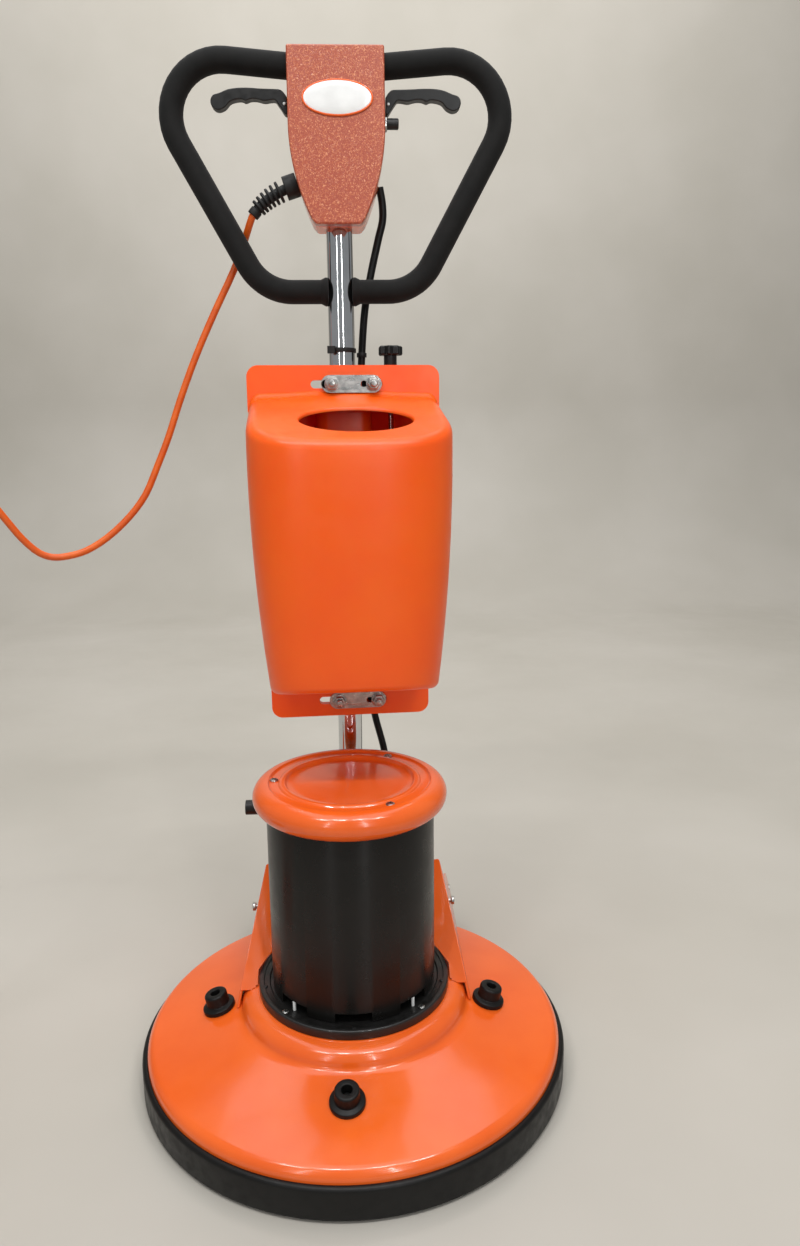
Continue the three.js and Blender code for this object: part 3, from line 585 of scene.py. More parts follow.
# ---------- camera ----------
def make_camera():
    data = bpy.data.cameras.new("camera")
    data.lens = 26
    data.sensor_width = 36
    camera = new_object("camera", data)
    heading, pitch, roll = turn(-2.5), turn(78.33, "X"), turn(-0.6)
    camera.matrix_world = at(0.0166, -1.0022, 0.721) @ heading @ pitch @ roll
    bpy.context.scene.camera = camera


make_camera()
bpy.context.scene.view_settings.view_transform = "Standard"


# ---------- power cord ----------
COIL_X, COIL_Y = -590, -15
COIL_PITCH = 8
COIL_INNER = 60
COIL_LOW = 4.3                # height of the lowest turns' middle
COIL_START = -35              # angle where each turn begins, in degrees
TURN_POINTS = 24
SHIFT_FROM = 0.83             # share of a turn after which it shifts to the next cell
PLUG_X, PLUG_Y, PLUG_Z = COIL_X - 72, COIL_Y - 10, 52.3
TIE_ANGLE = -1.9              # radians

ROUTE = [
    (-96.4, 135, 967.8), (-98.6, 136.2, 964), (-102, 139.6, 957), (-106.4, 145.6, 948),
    (-112.8, 153.8, 935.5), (-124, 157.5, 912), (-147, 156, 868), (-171, 152, 818),
    (-192, 148, 767), (-208, 144, 723), (-222, 140, 690), (-237, 135, 657),
    (-256, 130, 632), (-282, 122, 608), (-306, 115, 593.5), (-325, 109, 588.5),
    (-341, 103, 588), (-354, 97, 594), (-369, 90, 611), (-382, 84, 632),
    (-396, 78, 655), (-414, 70, 678), (-438, 60, 691), (-464, 50, 685),
    (-484, 42, 658), (-493, 36, 615), (-496, 30, 540), (-497, 24, 440),
    (-498, 24, 320), (-498, 24, 200), (-499, 23, 130), (-500, 18, 93),
    (-502.5, 4, 64), (-505, -13, 49), (-508.5, -34, 44.3),
]


def coil_cells():
    """(column, row) of each turn, from the outer turn on top, back and forth, down to the floor."""
    cells = [(3, 5), (2, 5)]
    for row in range(4, -1, -1):
        columns = range(4) if row % 2 == 0 else range(3, -1, -1)
        cells += [(column, row) for column in columns]
    return cells


def ease(share):
    return share * share * (3 - 2 * share)


def coil_points():
    """The turns, clockwise from above, each shifting to its next cell over a sixth of a turn."""
    cells = [*coil_cells(), (4, 0)]
    wobble = random.Random(4)
    points = []
    for (column, row), (next_column, next_row) in zip(cells, cells[1:]):
        sway = wobble.uniform(-0.5, 0.5)
        for i in range(TURN_POINTS):
            share = i / TURN_POINTS
            shift = ease(max(0.0, min(1.0, (share - SHIFT_FROM) / (1 - SHIFT_FROM))))
            r = COIL_INNER + COIL_PITCH * (column + (next_column - column) * shift)
            r += sway * sin(2 * pi * share)
            z = COIL_PITCH * (row + (next_row - row) * shift) + COIL_LOW
            a = radians(COIL_START) - 2 * pi * share
            points.append((COIL_X + r * cos(a), COIL_Y + r * sin(a), z))
    return points


def tail_points():
    """From the last turn on the floor, up the coil's outside and over into the plug's sleeve."""
    points = []
    for i in range(1, 13):
        share = i / 12
        rise = ease(share)
        a = radians(COIL_START - 145 * share)
        r = COIL_INNER + 4 * COIL_PITCH - 20 * rise
        z = COIL_LOW + 60 * rise
        points.append((COIL_X + r * cos(a), COIL_Y - 26 * rise + r * sin(a), z))
    points.append((PLUG_X, PLUG_Y - 6, COIL_LOW + 60))
    return points


def power_cord():
    knots = ROUTE + coil_points() + tail_points()
    path = smooth_path(knots, 3)
    cord = place_mesh("flex", sweep(path, 1000 * CORD_DIAMETER / 2, 12), MACHINE)
    finish_mesh(cord, ORANGE_CORD, sharp=60)
    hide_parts("power_cord", "cord_coil")
    plug = make_plug()
    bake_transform(cord)
    make_cord_tie()
    make_strain_relief()


def make_plug():
    """A three-pin plug lying on the coil, with a ribbed sleeve towards the cord."""
    outline = [(-9, 0, 3), (9, 0, 3), (18, 12, 6), (18, 34, 2), (-18, 34, 2), (-18, 12, 6)]
    body = prism(rounded(outline), 0, 24)
    rings = [(4.6, 0)]
    for i in range(4):
        z = 1 + 3.6 * i
        rings += [(7, z), (7, z + 2), (5.4, z + 2.4), (5.4, z + 3.4)]
    rings += [(7, 16), (0, 16), (0, 0)]
    sleeve = shifted(turned(lathe(rings, 32), -90, "X"), 0, -16, 12)
    place = MACHINE @ at(PLUG_X, PLUG_Y, PLUG_Z)
    plug = make("plug_body", together(body, sleeve), "base", MOULDED, ["cord_plug"], place, bevel=1.2)
    pins = [prism_y(rectangle(x - 3.1, z - 0.8, x + 3.1, z + 0.8, 0.7), 33, 52)
            for x, z in ((-8, 8), (8, 8), (0, 18))]
    attach(make("plug_pins", together(*pins), "base", STEEL, (), place, bevel=0.3), plug)
    return plug


def make_cord_tie():
    """A flat strap round the coil's section."""
    def around_turns(slack, radius, y):
        low, high = COIL_INNER - 5.2 + slack, COIL_INNER + 29.2 - slack
        floor, top = 0.7 + slack, 43 - slack
        outline = rounded([
            (low, floor, radius), (high, floor, radius), (high, top, radius + 1), (low, top, radius + 1),
        ], 5)
        return [(x, y, z) for x, z in outline]

    rings = [around_turns(slack, radius, y) for slack, radius, y in
             ((0, 4, -4), (0, 4, 4), (1, 3, 4), (1, 3, -4))]
    band = [point for ring in rings for point in ring], skin(4, len(rings[0]), loop=True)
    buckle = shifted(prism(rectangle(-4, -6, 4, 6, 2), 0, 3), 74, 0, 42)
    place = MACHINE @ at(COIL_X, COIL_Y) @ Matrix.Rotation(TIE_ANGLE, 4, "Z")
    return make("cord_tie", together(band, buckle), "base", SATIN_BLACK, (), place, bevel=0.3)


def make_strain_relief():
    """A gland nut and a curved sleeve of shrinking fins down to an end collar."""
    start = Vector((-44, POLE_Y, 1000))
    knee = Vector((-82, POLE_Y, 988))
    end = Vector((-96.6, 135.2, 966.5))

    def axis_at(t):
        point = start.lerp(knee, t).lerp(knee.lerp(end, t), t)
        ahead = (knee - start).lerp(end - knee, t).normalized()
        return at(*point) @ ahead.to_track_quat("Z", "Y").to_matrix().to_4x4()

    def ring(radius, length, t, hole=4.2):
        outline = rounded([(hole, 0, 0), (radius, 0, 0.9), (radius, length, 0.9), (hole, length, 0)], 3)
        return moved(lathe(outline, 40), axis_at(t))

    pieces = [ring(12.8, 15, 0.02)]
    for i in range(6):
        pieces.append(ring(11.8 - 0.42 * i, 3, 0.3 + i * 0.092))
    pieces.append(ring(6.8, 8, 0.85))
    relief = make("relief_fins", together(*pieces), "handle", SATIN_BLACK, ["strain_relief"])
    middle = [axis_at(k / 12).translation for k in range(13)]
    attach(make("relief_core", sweep(middle[:12], 5.6, 20), "handle", SATIN_BLACK), relief)
    return relief


power_cord()


# ---------- shroud, bumper, pegs and pad ----------
SHROUD_FALL = 0.2333          # slope of the shroud's top
PEG_PLACES = (("front", 167.5, -92.3), ("right", 157, -4.4), ("rear", 162, 87), ("left", 158, 182.2))


def make_shroud():
    hub = arc(114.5, 77, 16.5, 8, 84, 12)
    top = [
        (239, 8), *arc(227, 40, 12, 0, 77, 14), (200, 59.2), (165, 67.0), (141, 72.4),
        (136, 73.9), (133, 75.6), (131.4, 77.6), *hub, (112, 94.0), (111.6, 94.8), (110, 95),
    ]
    under = [
        (105, 95), (105, 92), (114, 89), (126, 77), (130, 71), (200, 55), (227, 49), (235, 42), (236, 8),
    ]
    make("shroud_shell", lathe(top + under, 160), "base", PAINT, ["shroud"])


def make_bumper():
    outline = [
        (233, 3), (243.5, 3), (244.6, 4), (245, 6), (245, 31), *arc(240.5, 33.8, 4.5, 0, 90, 8),
        (239.3, 38.2), (239.3, 7.5), (233, 7.5),
    ]
    make("bumper_band", lathe(outline, 160), "base", BUMPER_RUBBER, ["bumper"])


def screw(radius, height):
    """A domed screw head standing on z = 0, and a cross of bars through its top that screws_on paints black
    as painted shade for its crossed recess.
    """
    dome = [(0, 0), (radius, 0), (radius, height * 0.35)]
    dome += [(radius * cos(a), height * (0.35 + 0.65 * sin(a)))
             for a in [radians(10 * k) for k in range(1, 9)]] + [(0, height)]
    long, wide = radius * 0.6, radius * 0.11
    # The recess is not cut out: this cross of bars fills it and is painted black as the recess's shade.
    blade = prism(rectangle(-long, -wide, long, wide), height * 0.8, height + 0.05)
    return lathe(dome, 32), together(turned(blade, 45), turned(blade, 135))


def make_pegs():
    """A screwed rubber peg at each (distance, angle) round the shroud, square to its slope."""
    outline = rounded([
        (5.5, 8, 0), (5.5, 20, 1.2), (13, 20, 2.5), (13, 6.5, 1), (18.5, 5, 1.6), (18.5, 0, 0.6),
        (0, 0, 0), (0, 8, 0),
    ], 5)
    rubber_shape = lathe(outline, 48)
    head = shifted(screw(4.6, 3.4)[0], 0, 0, 8)
    fall = Matrix.Rotation(atan(SHROUD_FALL), 4, "Y")
    for label, distance, angle in PEG_PLACES:
        spot = around(angle, distance, 74.6 - SHROUD_FALL * (distance - 134)) @ fall
        peg = make(f"peg_{label}_rubber", moved(rubber_shape, spot), "base", PEG_RUBBER, [f"peg_{label}"])
        attach(make(f"peg_{label}_screw", moved(head, spot), "base", CAST_BLACK), peg)


def make_pad():
    edge = rounded([(38, 0, 3), (215, 0, 5), (215, 22, 5), (38, 22, 3)], 5)
    fluff = random.Random(9)
    vertices, faces = lathe(edge, 180)
    vertices = [(x * (1 + fluff.uniform(-0.0015, 0)), y * (1 + fluff.uniform(-0.0015, 0)), z)
                for x, y, z in vertices]
    pad = make("pad_disc", (vertices, faces), "pad", FIBRE, ["floor_pad"], sharp=60)


make_shroud()
make_bumper()
make_pegs()
make_pad()


# ---------- motor ----------
SHELL_RADIUS, SHELL_BORE = 94.3, 90.8
SHELL_BOTTOM, SHELL_TOP = 103.3, 318
NOTCH_TOP = 114.8
CAP_RIM = 93                  # radius of the middle of the cap's rolled rim
CAP_RIM_Z = 331


def make_flange():
    outline = rounded([
        (24, 95.3, 0), (110.7, 95.3, 0.8), (110.7, 106, 1.6), (104.5, 106, 0.8), (104.5, 104.8, 0.4),
        (98.5, 104.8, 0.6), (97.2, 103, 0), (34, 103, 0), (32, 112, 1), (24, 112, 0),
    ], 3)
    make("flange_ring", lathe(outline, 128), "base", CAST_BLACK, ["motor_flange"])


def make_shell():
    """The motor's tube, with eight notches cut round its foot by four bars."""
    outline = rounded([
        (SHELL_BORE, SHELL_BOTTOM, 0.5), (SHELL_RADIUS, SHELL_BOTTOM, 0.8),
        (SHELL_RADIUS, SHELL_TOP, 0.8), (SHELL_BORE, SHELL_TOP, 0.5),
    ], 3)
    shell = place_mesh("motor_tube", lathe(outline, 180), MACHINE)
    notches = prism(rectangle(-20, -120, 20, 120), 100, NOTCH_TOP)
    carve(shell, *[turned(notches, 45 * k) for k in range(4)])
    finish_mesh(shell, GLOSS_BLACK, sharp=40)
    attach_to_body(shell, "base")
    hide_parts("motor_shell")


def make_gland():
    gland = lathe(rounded([(4.2, 84, 0), (9, 84, 0), (9, 97, 1.5), (4.2, 97, 1)], 4), 32)
    make("motor_gland", shifted(turned(gland, -90, "X"), 50, 0, 148), "base", SATIN_BLACK)


def make_cap():
    outline = [
        *arc(CAP_RIM, CAP_RIM_Z, 16, -81, 96, 30), (90.6, 346.3), (90.1, 345.3), (89.2, 344.6), (88, 344.5),
        (80.8, 344.5), (79.8, 344.7), (79, 345.6), (78.2, 346.4), (77, 346.7), (73.8, 346.7), (72.6, 346.3),
        (71.4, 344.6), (70.4, 343.1), (69, 342.4), (60, 342), (0, 341.2),
        (0, 338.5), (73, 339.5), (79, 341.5), *arc(CAP_RIM, CAP_RIM_Z, 13, 90, -70, 12),
    ]
    make("cap_cover", lathe(outline, 160), "base", PAINT, ["motor_cap"])


def screws_on(name, radius, height, circle, z, angles, material=STEEL):
    head, cross = screw(radius, height)
    spots = [around(angle, circle, z) for angle in angles]
    make(f"{name}_heads", together(*[moved(head, spot) for spot in spots]), "base", material)
    # Painted shade: black crosses stand on the heads where the recesses' inner shade shows.
    make(f"{name}_recess_shade", together(*[moved(cross, spot) for spot in spots]), "base", CAST_BLACK)


def make_through_bolts():
    stud = lathe(rounded([(0, 0, 0), (1.8, 0, 0), (1.8, 11, 0.6), (0, 11, 0)], 3), 20)
    studs = [moved(stud, around(angle, 92.5, 103)) for angle in (-135, -45, 45, 135)]
    make("through_bolts", together(*studs), "base", WHITE)


make_flange()
make_shell()
make_gland()
make_cap()
screws_on("cap_screws", 4.9, 2.6, 85, 344.4, (178, 58, -59.5))
screws_on("flange_screws", 3.6, 1.8, 104, 105.4, (-136, -44, 44, 136))
screws_on("flange_plugs", 2.7, 0.9, 104, 105.4, (-13, -90, -167, 90), CAST_BLACK)
make_through_bolts()


# ---------- yoke, axles and wheels ----------
WHEEL_X, WHEEL_Y, WHEEL_Z = 100, 286, 55
YOKE_X, YOKE_Z = 134, 86      # where the side plate's foot line stands
YOKE_LEAN = 12.7              # degrees, inwards


def make_wheels():
    tread = rounded([
        (38, -14, 0), (46, -14, 2), (50, -11, 3), (50, 11, 3), (46, 14, 2), (38, 14, 0), (37.7, 0, 0),
    ], 5)
    hub = rounded([
        (6.3, -14.5, 0), (12, -14.5, 1), (13, -6, 2), (30, -4, 3), (33, -9, 2), (37.6, -9, 0.5),
        (37.6, 9, 0.5), (33, 9, 2), (30, 4, 3), (13, 6, 2), (12, 14.5, 1), (6.3, 14.5, 0),
    ], 4)
    rib = prism(rectangle(12, -1.2, 31, 1.2), -7, 7)
    tyre_shape = lathe(tread, 96)
    hub_shape = together(lathe(hub, 64), *[turned(rib, 60 * k) for k in range(6)])
    for label, side in SIDES:
        body = f"wheel_{label}"
        spot = at(side * WHEEL_X, WHEEL_Y, WHEEL_Z) @ turn(90, "Y")
        make(f"tyre_{label}", moved(tyre_shape, spot), body, TYRE_RUBBER, [f"wheel_tyre_{label}"])
        make(f"hub_{label}", moved(hub_shape, spot), body, GREY, [f"wheel_hub_{label}"])


def make_yoke(label, side):
    """A bracket folded from sheet: a side plate that leans in, and a web across its front edge."""
    plate = prism_x(rounded([
        (-18.5, -11.4, 1.5), (-11.3, 7.3, 4), (92.7, 107.3, 7), (99, 110, 5), (108, 104, 7), (122, 70, 12),
        (215, 30, 20), (290, -8, 14), (309, -25, 16), (303, -50, 16), (262, -49, 24), (216, -22, 20),
        (8, -10.5, 3),
    ], 4), -3, 0)
    web = prism(rounded([(0, 0, 0.8), (-46, 9, 0), (-33, 153, 15), (0, 153, 3)]), -3, 0)
    web = shifted(turned(web, degrees(atan2(100, 104)), "X"), 0, -12, 8)
    clearance = lathe([
        (0, 60), (134.6, 60), (134.6, 74), *arc(114.5, 77, 17.2, 0, 90, 8), (115.1, 95.7),
        (112.7, 95.7), (112.7, 108), (96.3, 126), (96.3, 300), (0, 300),
    ], 128)
    place = at(YOKE_X, 0, YOKE_Z) @ turn(-YOKE_LEAN, "Y")
    mirror = Matrix.Scale(side, 4, (1, 0, 0))
    for part, shape in (("plate", plate), ("web", web)):
        piece = place_mesh(f"yoke_{label}_{part}", moved(shape, mirror @ place), MACHINE)
        finish_mesh(piece, PAINT, bevel=0.7)
        carve(piece, clearance)
        finish_mesh(piece, PAINT)
        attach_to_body(piece, "base")
    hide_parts(f"yoke_{label}")


for yoke_label, yoke_side in SIDES:
    make_yoke(yoke_label, yoke_side)
softened("tilt_axle", "base", STEEL, 0.8)
softened("wheel_axle", "base", STEEL, 0.8)
softened("pole_fork", "handle", CAST_BLACK, 1.2)
softened("lock_rod", "lock_bolt", STEEL, 0.6)
softened("tilt_lock_lever", "lock_lever", MOULDED, 1.4)
make_wheels()


# ---------- pole and handle loop ----------
LOOP_FOOT_Z = 885
LOOP_CORNER = 57              # bend radius of the loop's middle line


def make_pole():
    outline = rounded([(13, 137, 0.5), (15, 137, 0.8), (15, 1100, 0.8), (13, 1100, 0.5)], 3)
    make("pole_tube", shifted(lathe(outline, 96), 0, POLE_Y), "handle", CHROME, ["pole"])


def make_loop():
    right = [(15.3, POLE_Y, LOOP_FOOT_Z), (88.3, POLE_Y, LOOP_FOOT_Z), (226.5, POLE_Y, 1134.7)]
    left = [(-x, y, z) for x, y, z in reversed(right)]
    path = densely(cornered_path([*right, (0, POLE_Y, 1115), *left], LOOP_CORNER), 8)
    make("loop_foam", sweep(path, 13.2, 28), "handle", FOAM, ["handle_loop"], sharp=60)
    lip = rounded([(12.6, 0, 0), (15.4, 0.4, 1), (15.8, 3.4, 1.2), (13.4, 8.5, 1), (12.6, 9, 0)], 4)
    for label, side in SIDES:
        collar = shifted(turned(lathe(lip, 48), 90 * side, "Y"), side * 13.5, POLE_Y, LOOP_FOOT_Z)
        make(f"loop_collar_{label}", collar, "handle", FOAM)


def strap(radius, z, thick):
    return lathe(rectangle(radius, z, radius + thick, z + 5, 0.3, 2), 64)


def make_pole_tie():
    """A cable tie round the pole with its lock, and a second loop round the motor cable."""
    lock = shifted(prism(rectangle(-4.5, -3, 4.5, 3, 1), -4, 4), -12, -15, 820)
    around_pole = together(strap(15.1, 817.5, 1.3), lock)
    make("pole_tie", shifted(around_pole, 0, POLE_Y), "handle", SATIN_BLACK, bevel=0.3)
    make("cable_tie", shifted(strap(4.7, 815, 1.2), 23, 164), "handle", SATIN_BLACK)


make_pole()
make_loop()
make_pole_tie()


# ---------- control box ----------
BOX_BOTTOM, BOX_TOP = 951, 1136
BOX_HALF, FOOT_HALF = 53, 27.3
WAIST_Z, SHOULDER_Z = 1006, 1056
FACE_Y = 100
FACE_RUN = 18 / 183           # how the front leans back as it rises
BOX_BACK = 157
COVER_DEPTH = 16.1
BADGE_X, BADGE_Z = 1.5, 1081


def shield(grow):
    """The box's outline seen from the front: a square top that narrows in a curve to a short foot."""
    half, low = BOX_HALF + grow, FOOT_HALF + grow
    right = [(low - 5, BOX_BOTTOM - grow)]
    right += [(low - 5 + 6 * sin(a), BOX_BOTTOM - grow + 6 * (1 - cos(a)))
              for a in [radians(k) for k in (20, 40, 60)]]
    for k in range(15):
        t = k / 14
        x = (1 - t) ** 2 * (low + 2.5) + 2 * t * (1 - t) * half + t * t * half
        z = (1 - t) ** 2 * (BOX_BOTTOM + 6) + 2 * t * (1 - t) * WAIST_Z + t * t * SHOULDER_Z
        right.append((x, z))
    right.append((half, BOX_TOP + grow))
    return right + [(-x, z) for x, z in reversed(right)]


def face_y(z):
    """The leaning front face's place at a height."""
    return FACE_Y + (z - BOX_BOTTOM) * FACE_RUN


def make_box():
    """The cover behind the leaning face, and the housing from behind it to a flat back."""
    vertices, faces = prism(shield(0), 0, COVER_DEPTH)
    vertices = [(x, face_y(z) + depth, z) for x, z, depth in vertices]
    make("cover_shell", (vertices, faces), "handle", HAMMERTONE, ["box_cover"], bevel=2.2, segments=4)
    vertices, faces = prism(shield(-0.6), 0, 1)
    vertices = [(x, BOX_BACK if depth else face_y(z) + COVER_DEPTH + 0.3, z) for x, z, depth in vertices]
    make("housing_shell", (vertices, faces), "handle", PAINT, ["box_housing"], bevel=1.8)


def make_badge():
    """A slightly domed oval plate in an orange rim."""
    lean = degrees(atan(FACE_RUN))
    spot = at(BADGE_X, face_y(BADGE_Z), BADGE_Z) @ turn(90 - lean, "X")
    dome = ((1.0, 0.0), (1.0, 1.2), (0.985, 1.7), (0.95, 2.0), (0.6, 2.5), (0.25, 2.75), (0.02, 2.8))
    steps = 96
    vertices = []
    for share, height in dome:
        vertices += oval(37.2 * share, 17.7 * share, height, steps)
    faces = [tuple(range(len(vertices) - steps, len(vertices))), tuple(range(steps))[::-1]]
    faces += skin(len(dome), steps)
    make("badge_plate", moved((vertices, faces), spot), "handle", WHITE, ["badge"])
    rim = sweep(oval(37.6, 18.1, 0.6, steps), 1.3, 12, closed=True)
    make("badge_rim", moved(rim, spot), "handle", PAINT)


make_box()
make_badge()


# ---------- hand controls ----------
LEVER_X, LEVER_Z = 56, 1086
BUTTON_Z = 1062


def make_levers():
    """Squeeze levers with a claw below the pivot and a drop-shaped end."""
    outline = [
        (-2, 1), (1, 5.4), (5, 8.6), (11, 9.2), (26, 9.6), (41, 10.4), (54, 10), (63, 8.4), (72, 4.9),
        *arc(73, -3.6, 8.5, 50, -120, 6), (65, -8.8), (60.5, -4), (54, -1.8), (47.5, -1.4), (43.5, -2.9),
        (38, -1.1), (31, -1.1), (22.5, -2.9), (16, -2), (11, -2), (8.3, -5.2), (4.4, -10.6), (1.2, -15.4),
        (-0.6, -16.3), (-2, -15), (-2, -6),
    ]
    curve = smooth_path([(x, z, 0) for x, z in outline], 3)
    shape = [(p.x, p.y) for p in curve]
    blade = prism_y(shape, -6, 6)
    pin = turned(lathe(rounded([(0, -7, 0), (1.8, -7, 0.6), (1.8, 7, 0.6), (0, 7, 0)], 3), 24), 90, "X")
    for label, side in SIDES:
        spot = at(side * LEVER_X, POLE_Y, LEVER_Z) @ Matrix.Scale(side, 4, (1, 0, 0))
        make(f"lever_{label}_grip", moved(blade, spot), f"squeeze_{label}", MOULDED, [f"lever_{label}"],
             bevel=2.4, segments=5)
        make(f"lever_{label}_pin", shifted(pin, side * (LEVER_X + 1), POLE_Y, LEVER_Z - 6), "handle", STEEL)


def make_button():
    outline = rounded([(0, 38, 0), (5.85, 38, 0), (5.85, 68.5, 1.4), (0, 68.5, 0)], 5)
    stem = shifted(turned(lathe(outline, 40), 90, "Y"), 0, POLE_Y, BUTTON_Z)
    make("button_cap", stem, "button", MOULDED, ["interlock_button"])
    nut = lathe(rounded([(6.1, 52, 0), (8.6, 52, 0), (8.6, 55.5, 0.8), (6.1, 55.5, 0.5)], 3), 6)
    make("button_nut", shifted(turned(nut, 90, "Y"), 0, POLE_Y, BUTTON_Z), "handle", STEEL)


make_levers()
make_button()


# ---------- solution tank, in the pole's frame ----------
WALL = 4
EDGE = 13                     # rounding of the roof's edge
LOW_EDGE = 8
NOSE_Y = -120                 # where the slopes of the roof and underside start
ROOF_Z, ROOF_CLIMB = 706, 62
UNDER_Z, UNDER_DROP = 474, 50
TANK_BACK = 165
CHANNEL_HALF, CHANNEL_Y = 28.5, 113
FRONT_POWER = 0.72            # below 1 squares the round front
FLANGE_Y, FLANGE_BACK = 107, 117
RISE_STARTS = 98              # where the roof sweeps up to the upper flange
FRONT_STEPS = 44
MOUTH_X, MOUTH_Y = 7, 8
VALVE_X, VALVE_Y = 57, 141
CLAMP_Y = 102.7               # front of the clamp straps


def tank_half(z):
    return 108.3 - 0.00025 * (z - 700) ** 2


def tank_front(z):
    return -63.3 + 0.0002 * (z - 690) ** 2


def roof(y):
    return ROOF_Z + (min(y, FLANGE_Y) - NOSE_Y) * ROOF_CLIMB / (FLANGE_Y - NOSE_Y)


def underside(y):
    return UNDER_Z - (min(y, FLANGE_Y) - NOSE_Y) * UNDER_DROP / (FLANGE_Y - NOSE_Y)


def level(y, share, rise):
    return underside(y) + (roof(y) - underside(y)) * share + rise


def tank_plan(z):
    """One level of the tank: a rounded front, straight sides, and a channel round the pole."""
    half, front = tank_half(z), tank_front(z)
    points = []
    for i in range(FRONT_STEPS + 1):
        a = pi * i / FRONT_STEPS
        x = half * copysign(abs(cos(a)) ** FRONT_POWER, cos(a))
        points.append((x, 20 - (20 - front) * sin(a) ** FRONT_POWER))
    left = [(-half, 100, 0), (-half, TANK_BACK, 14), (-CHANNEL_HALF, TANK_BACK, 6),
            (-CHANNEL_HALF, CHANNEL_Y, 10)]
    right = [(-x, y, radius) for x, y, radius in reversed(left)]
    points += [(-half, 50), (-half, 80), (-half, 125)]
    points += rounded([*left, *right], 5)[1:-1]
    points += [(half, 125), (half, 80), (half, 50)]
    return points


def tank_ring(share, inset, rise):
    """The tank's outline at a share of its height, drawn in by inset, rise above its plane there."""
    heights = [level(y, share, rise) for _, y in tank_plan(600)]
    base = [Vector(tank_plan(z)[i]) for i, z in enumerate(heights)]
    count = len(base)
    ring = []
    for i, point in enumerate(base):
        ahead = (base[(i + 1) % count] - base[i - 1]).normalized()
        drawn = point + Vector((ahead.y, -ahead.x)) * inset
        ring.append((drawn.x, drawn.y, level(point.y, share, rise)))
    return ring


def tank_wall(inset):
    """Rings from the underside's edge round up to the roof's edge."""
    edge, low_edge = EDGE - inset, LOW_EDGE - inset
    rings = []
    for k in range(7):
        a = radians(15 * k)
        in_by, up_by = 1 - sin(a), 1 - cos(a)
        rings.append(tank_ring(0, inset + low_edge * in_by, inset + low_edge * up_by))
    for k in range(1, 12):
        share = k / 12
        rings.append(tank_ring(share, inset, LOW_EDGE * (1 - share) - EDGE * share))
    for k in range(7):
        a = radians(90 - 15 * k)
        in_by, down_by = 1 - sin(a), 1 - cos(a)
        rings.append(tank_ring(1, inset + edge * in_by, -inset - edge * down_by))
    return rings


def roof_rise(y, z):
    """How far the tank's top is swept up towards the upper flange."""
    back = max(0.0, min(1.0, (y - RISE_STARTS) / (FLANGE_Y - RISE_STARTS)))
    up = max(0.0, min(1.0, (z - 690) / 50))
    return 6 * back * back * up


def mouth(drop, grow):
    """The filling mouth's edge, some way below the roof."""
    edge = [(x + MOUTH_X, y + MOUTH_Y) for x, y, _ in oval(60 + grow, 49 + grow, 0, 64)]
    return [(x, y, roof(y) - drop) for x, y in edge]


def shape_of(work):
    """The finished work as vertices and faces."""
    work.verts.index_update()
    shape = [tuple(v.co) for v in work.verts], [tuple(v.index for v in f.verts) for f in work.faces]
    work.free()
    return shape


def tank_mesh():
    """The hollow tank, open at its mouth, its roof swept up at the back."""
    work = bmesh.new()

    def loop(points):
        return [work.verts.new((x, y - POLE_Y, z)) for x, y, z in points]

    def band(a, b):
        for i in range(len(a)):
            work.faces.new((a[i - 1], a[i], b[i], b[i - 1]))

    def fill(*loops):
        edges = []
        for ring in loops:
            for i in range(len(ring)):
                pair = (ring[i - 1], ring[i])
                edges.append(work.edges.get(pair) or work.edges.new(pair))
        bmesh.ops.triangle_fill(work, edges=edges, use_beauty=True, normal=(0, 0, 1))

    outer = [loop(ring) for ring in tank_wall(0)]
    inner = [loop(ring) for ring in tank_wall(WALL)]
    lip = [loop(mouth(drop, grow)) for drop, grow in
           ((0, 2.6), (0.35, 1.3), (1.3, 0.35), (2.6, 0), (WALL, 0))]
    for rings in (outer, inner, lip):
        for a, b in zip(rings, rings[1:]):
            band(a, b)
    fill(outer[0])
    fill(inner[0])
    fill(outer[-1], lip[0])
    fill(inner[-1], lip[-1])
    for k in range(7):
        everything = [*work.verts, *work.edges, *work.faces]
        y = RISE_STARTS + (FLANGE_Y - RISE_STARTS) * k / 6
        bmesh.ops.bisect_plane(work, geom=everything, plane_co=(0, y - POLE_Y, 0), plane_no=(0, 1, 0))
    for vertex in work.verts:
        vertex.co.z += roof_rise(vertex.co.y + POLE_Y, vertex.co.z)
    bmesh.ops.recalc_face_normals(work, faces=work.faces)
    return shape_of(work)


def plate(outline, holes, low, high):
    """A flat plate with holes, from y = low to y = high."""
    work = bmesh.new()
    loops = []
    for y in (low, high):
        for points in (outline, *holes):
            loops.append([work.verts.new((x, y, z)) for x, z in points])
    count = 1 + len(holes)
    for front, back in zip(loops[:count], loops[count:]):
        for i in range(len(front)):
            work.faces.new((front[i - 1], front[i], back[i], back[i - 1]))
    for group in (loops[:count], loops[count:]):
        edges = [work.edges.get((ring[i - 1], ring[i])) for ring in group for i in range(len(ring))]
        bmesh.ops.triangle_fill(work, edges=edges, use_beauty=True, normal=(0, 1, 0))
    return shape_of(work)


def slot_outline(x0, x1, z):
    return arc(x1 - 4.6, z, 4.6, -90, 90, 10) + arc(x0 + 4.6, z, 4.6, 90, 270, 10)


def bolt(x, z, y):
    """A stud's rounded end in its hexagon nut on a washer, in front of y."""
    stud = lathe(rounded([(0, 0, 0), (4, 0, 0), (4, 13.5, 1.2), (0, 13.5, 0)], 4), 32)
    nut = lathe(rounded([(4, 1.5, 0), (7.6, 1.5, 0.4), (7.6, 8, 1.4), (4, 8, 0.5)], 3), 6)
    washer = lathe(rounded([(4, 0, 0), (8.6, 0, 0.3), (8.6, 1.5, 0.5), (4, 1.5, 0)], 3), 40)
    return shifted(turned(together(stud, nut, washer), 90, "X"), x, y, z)


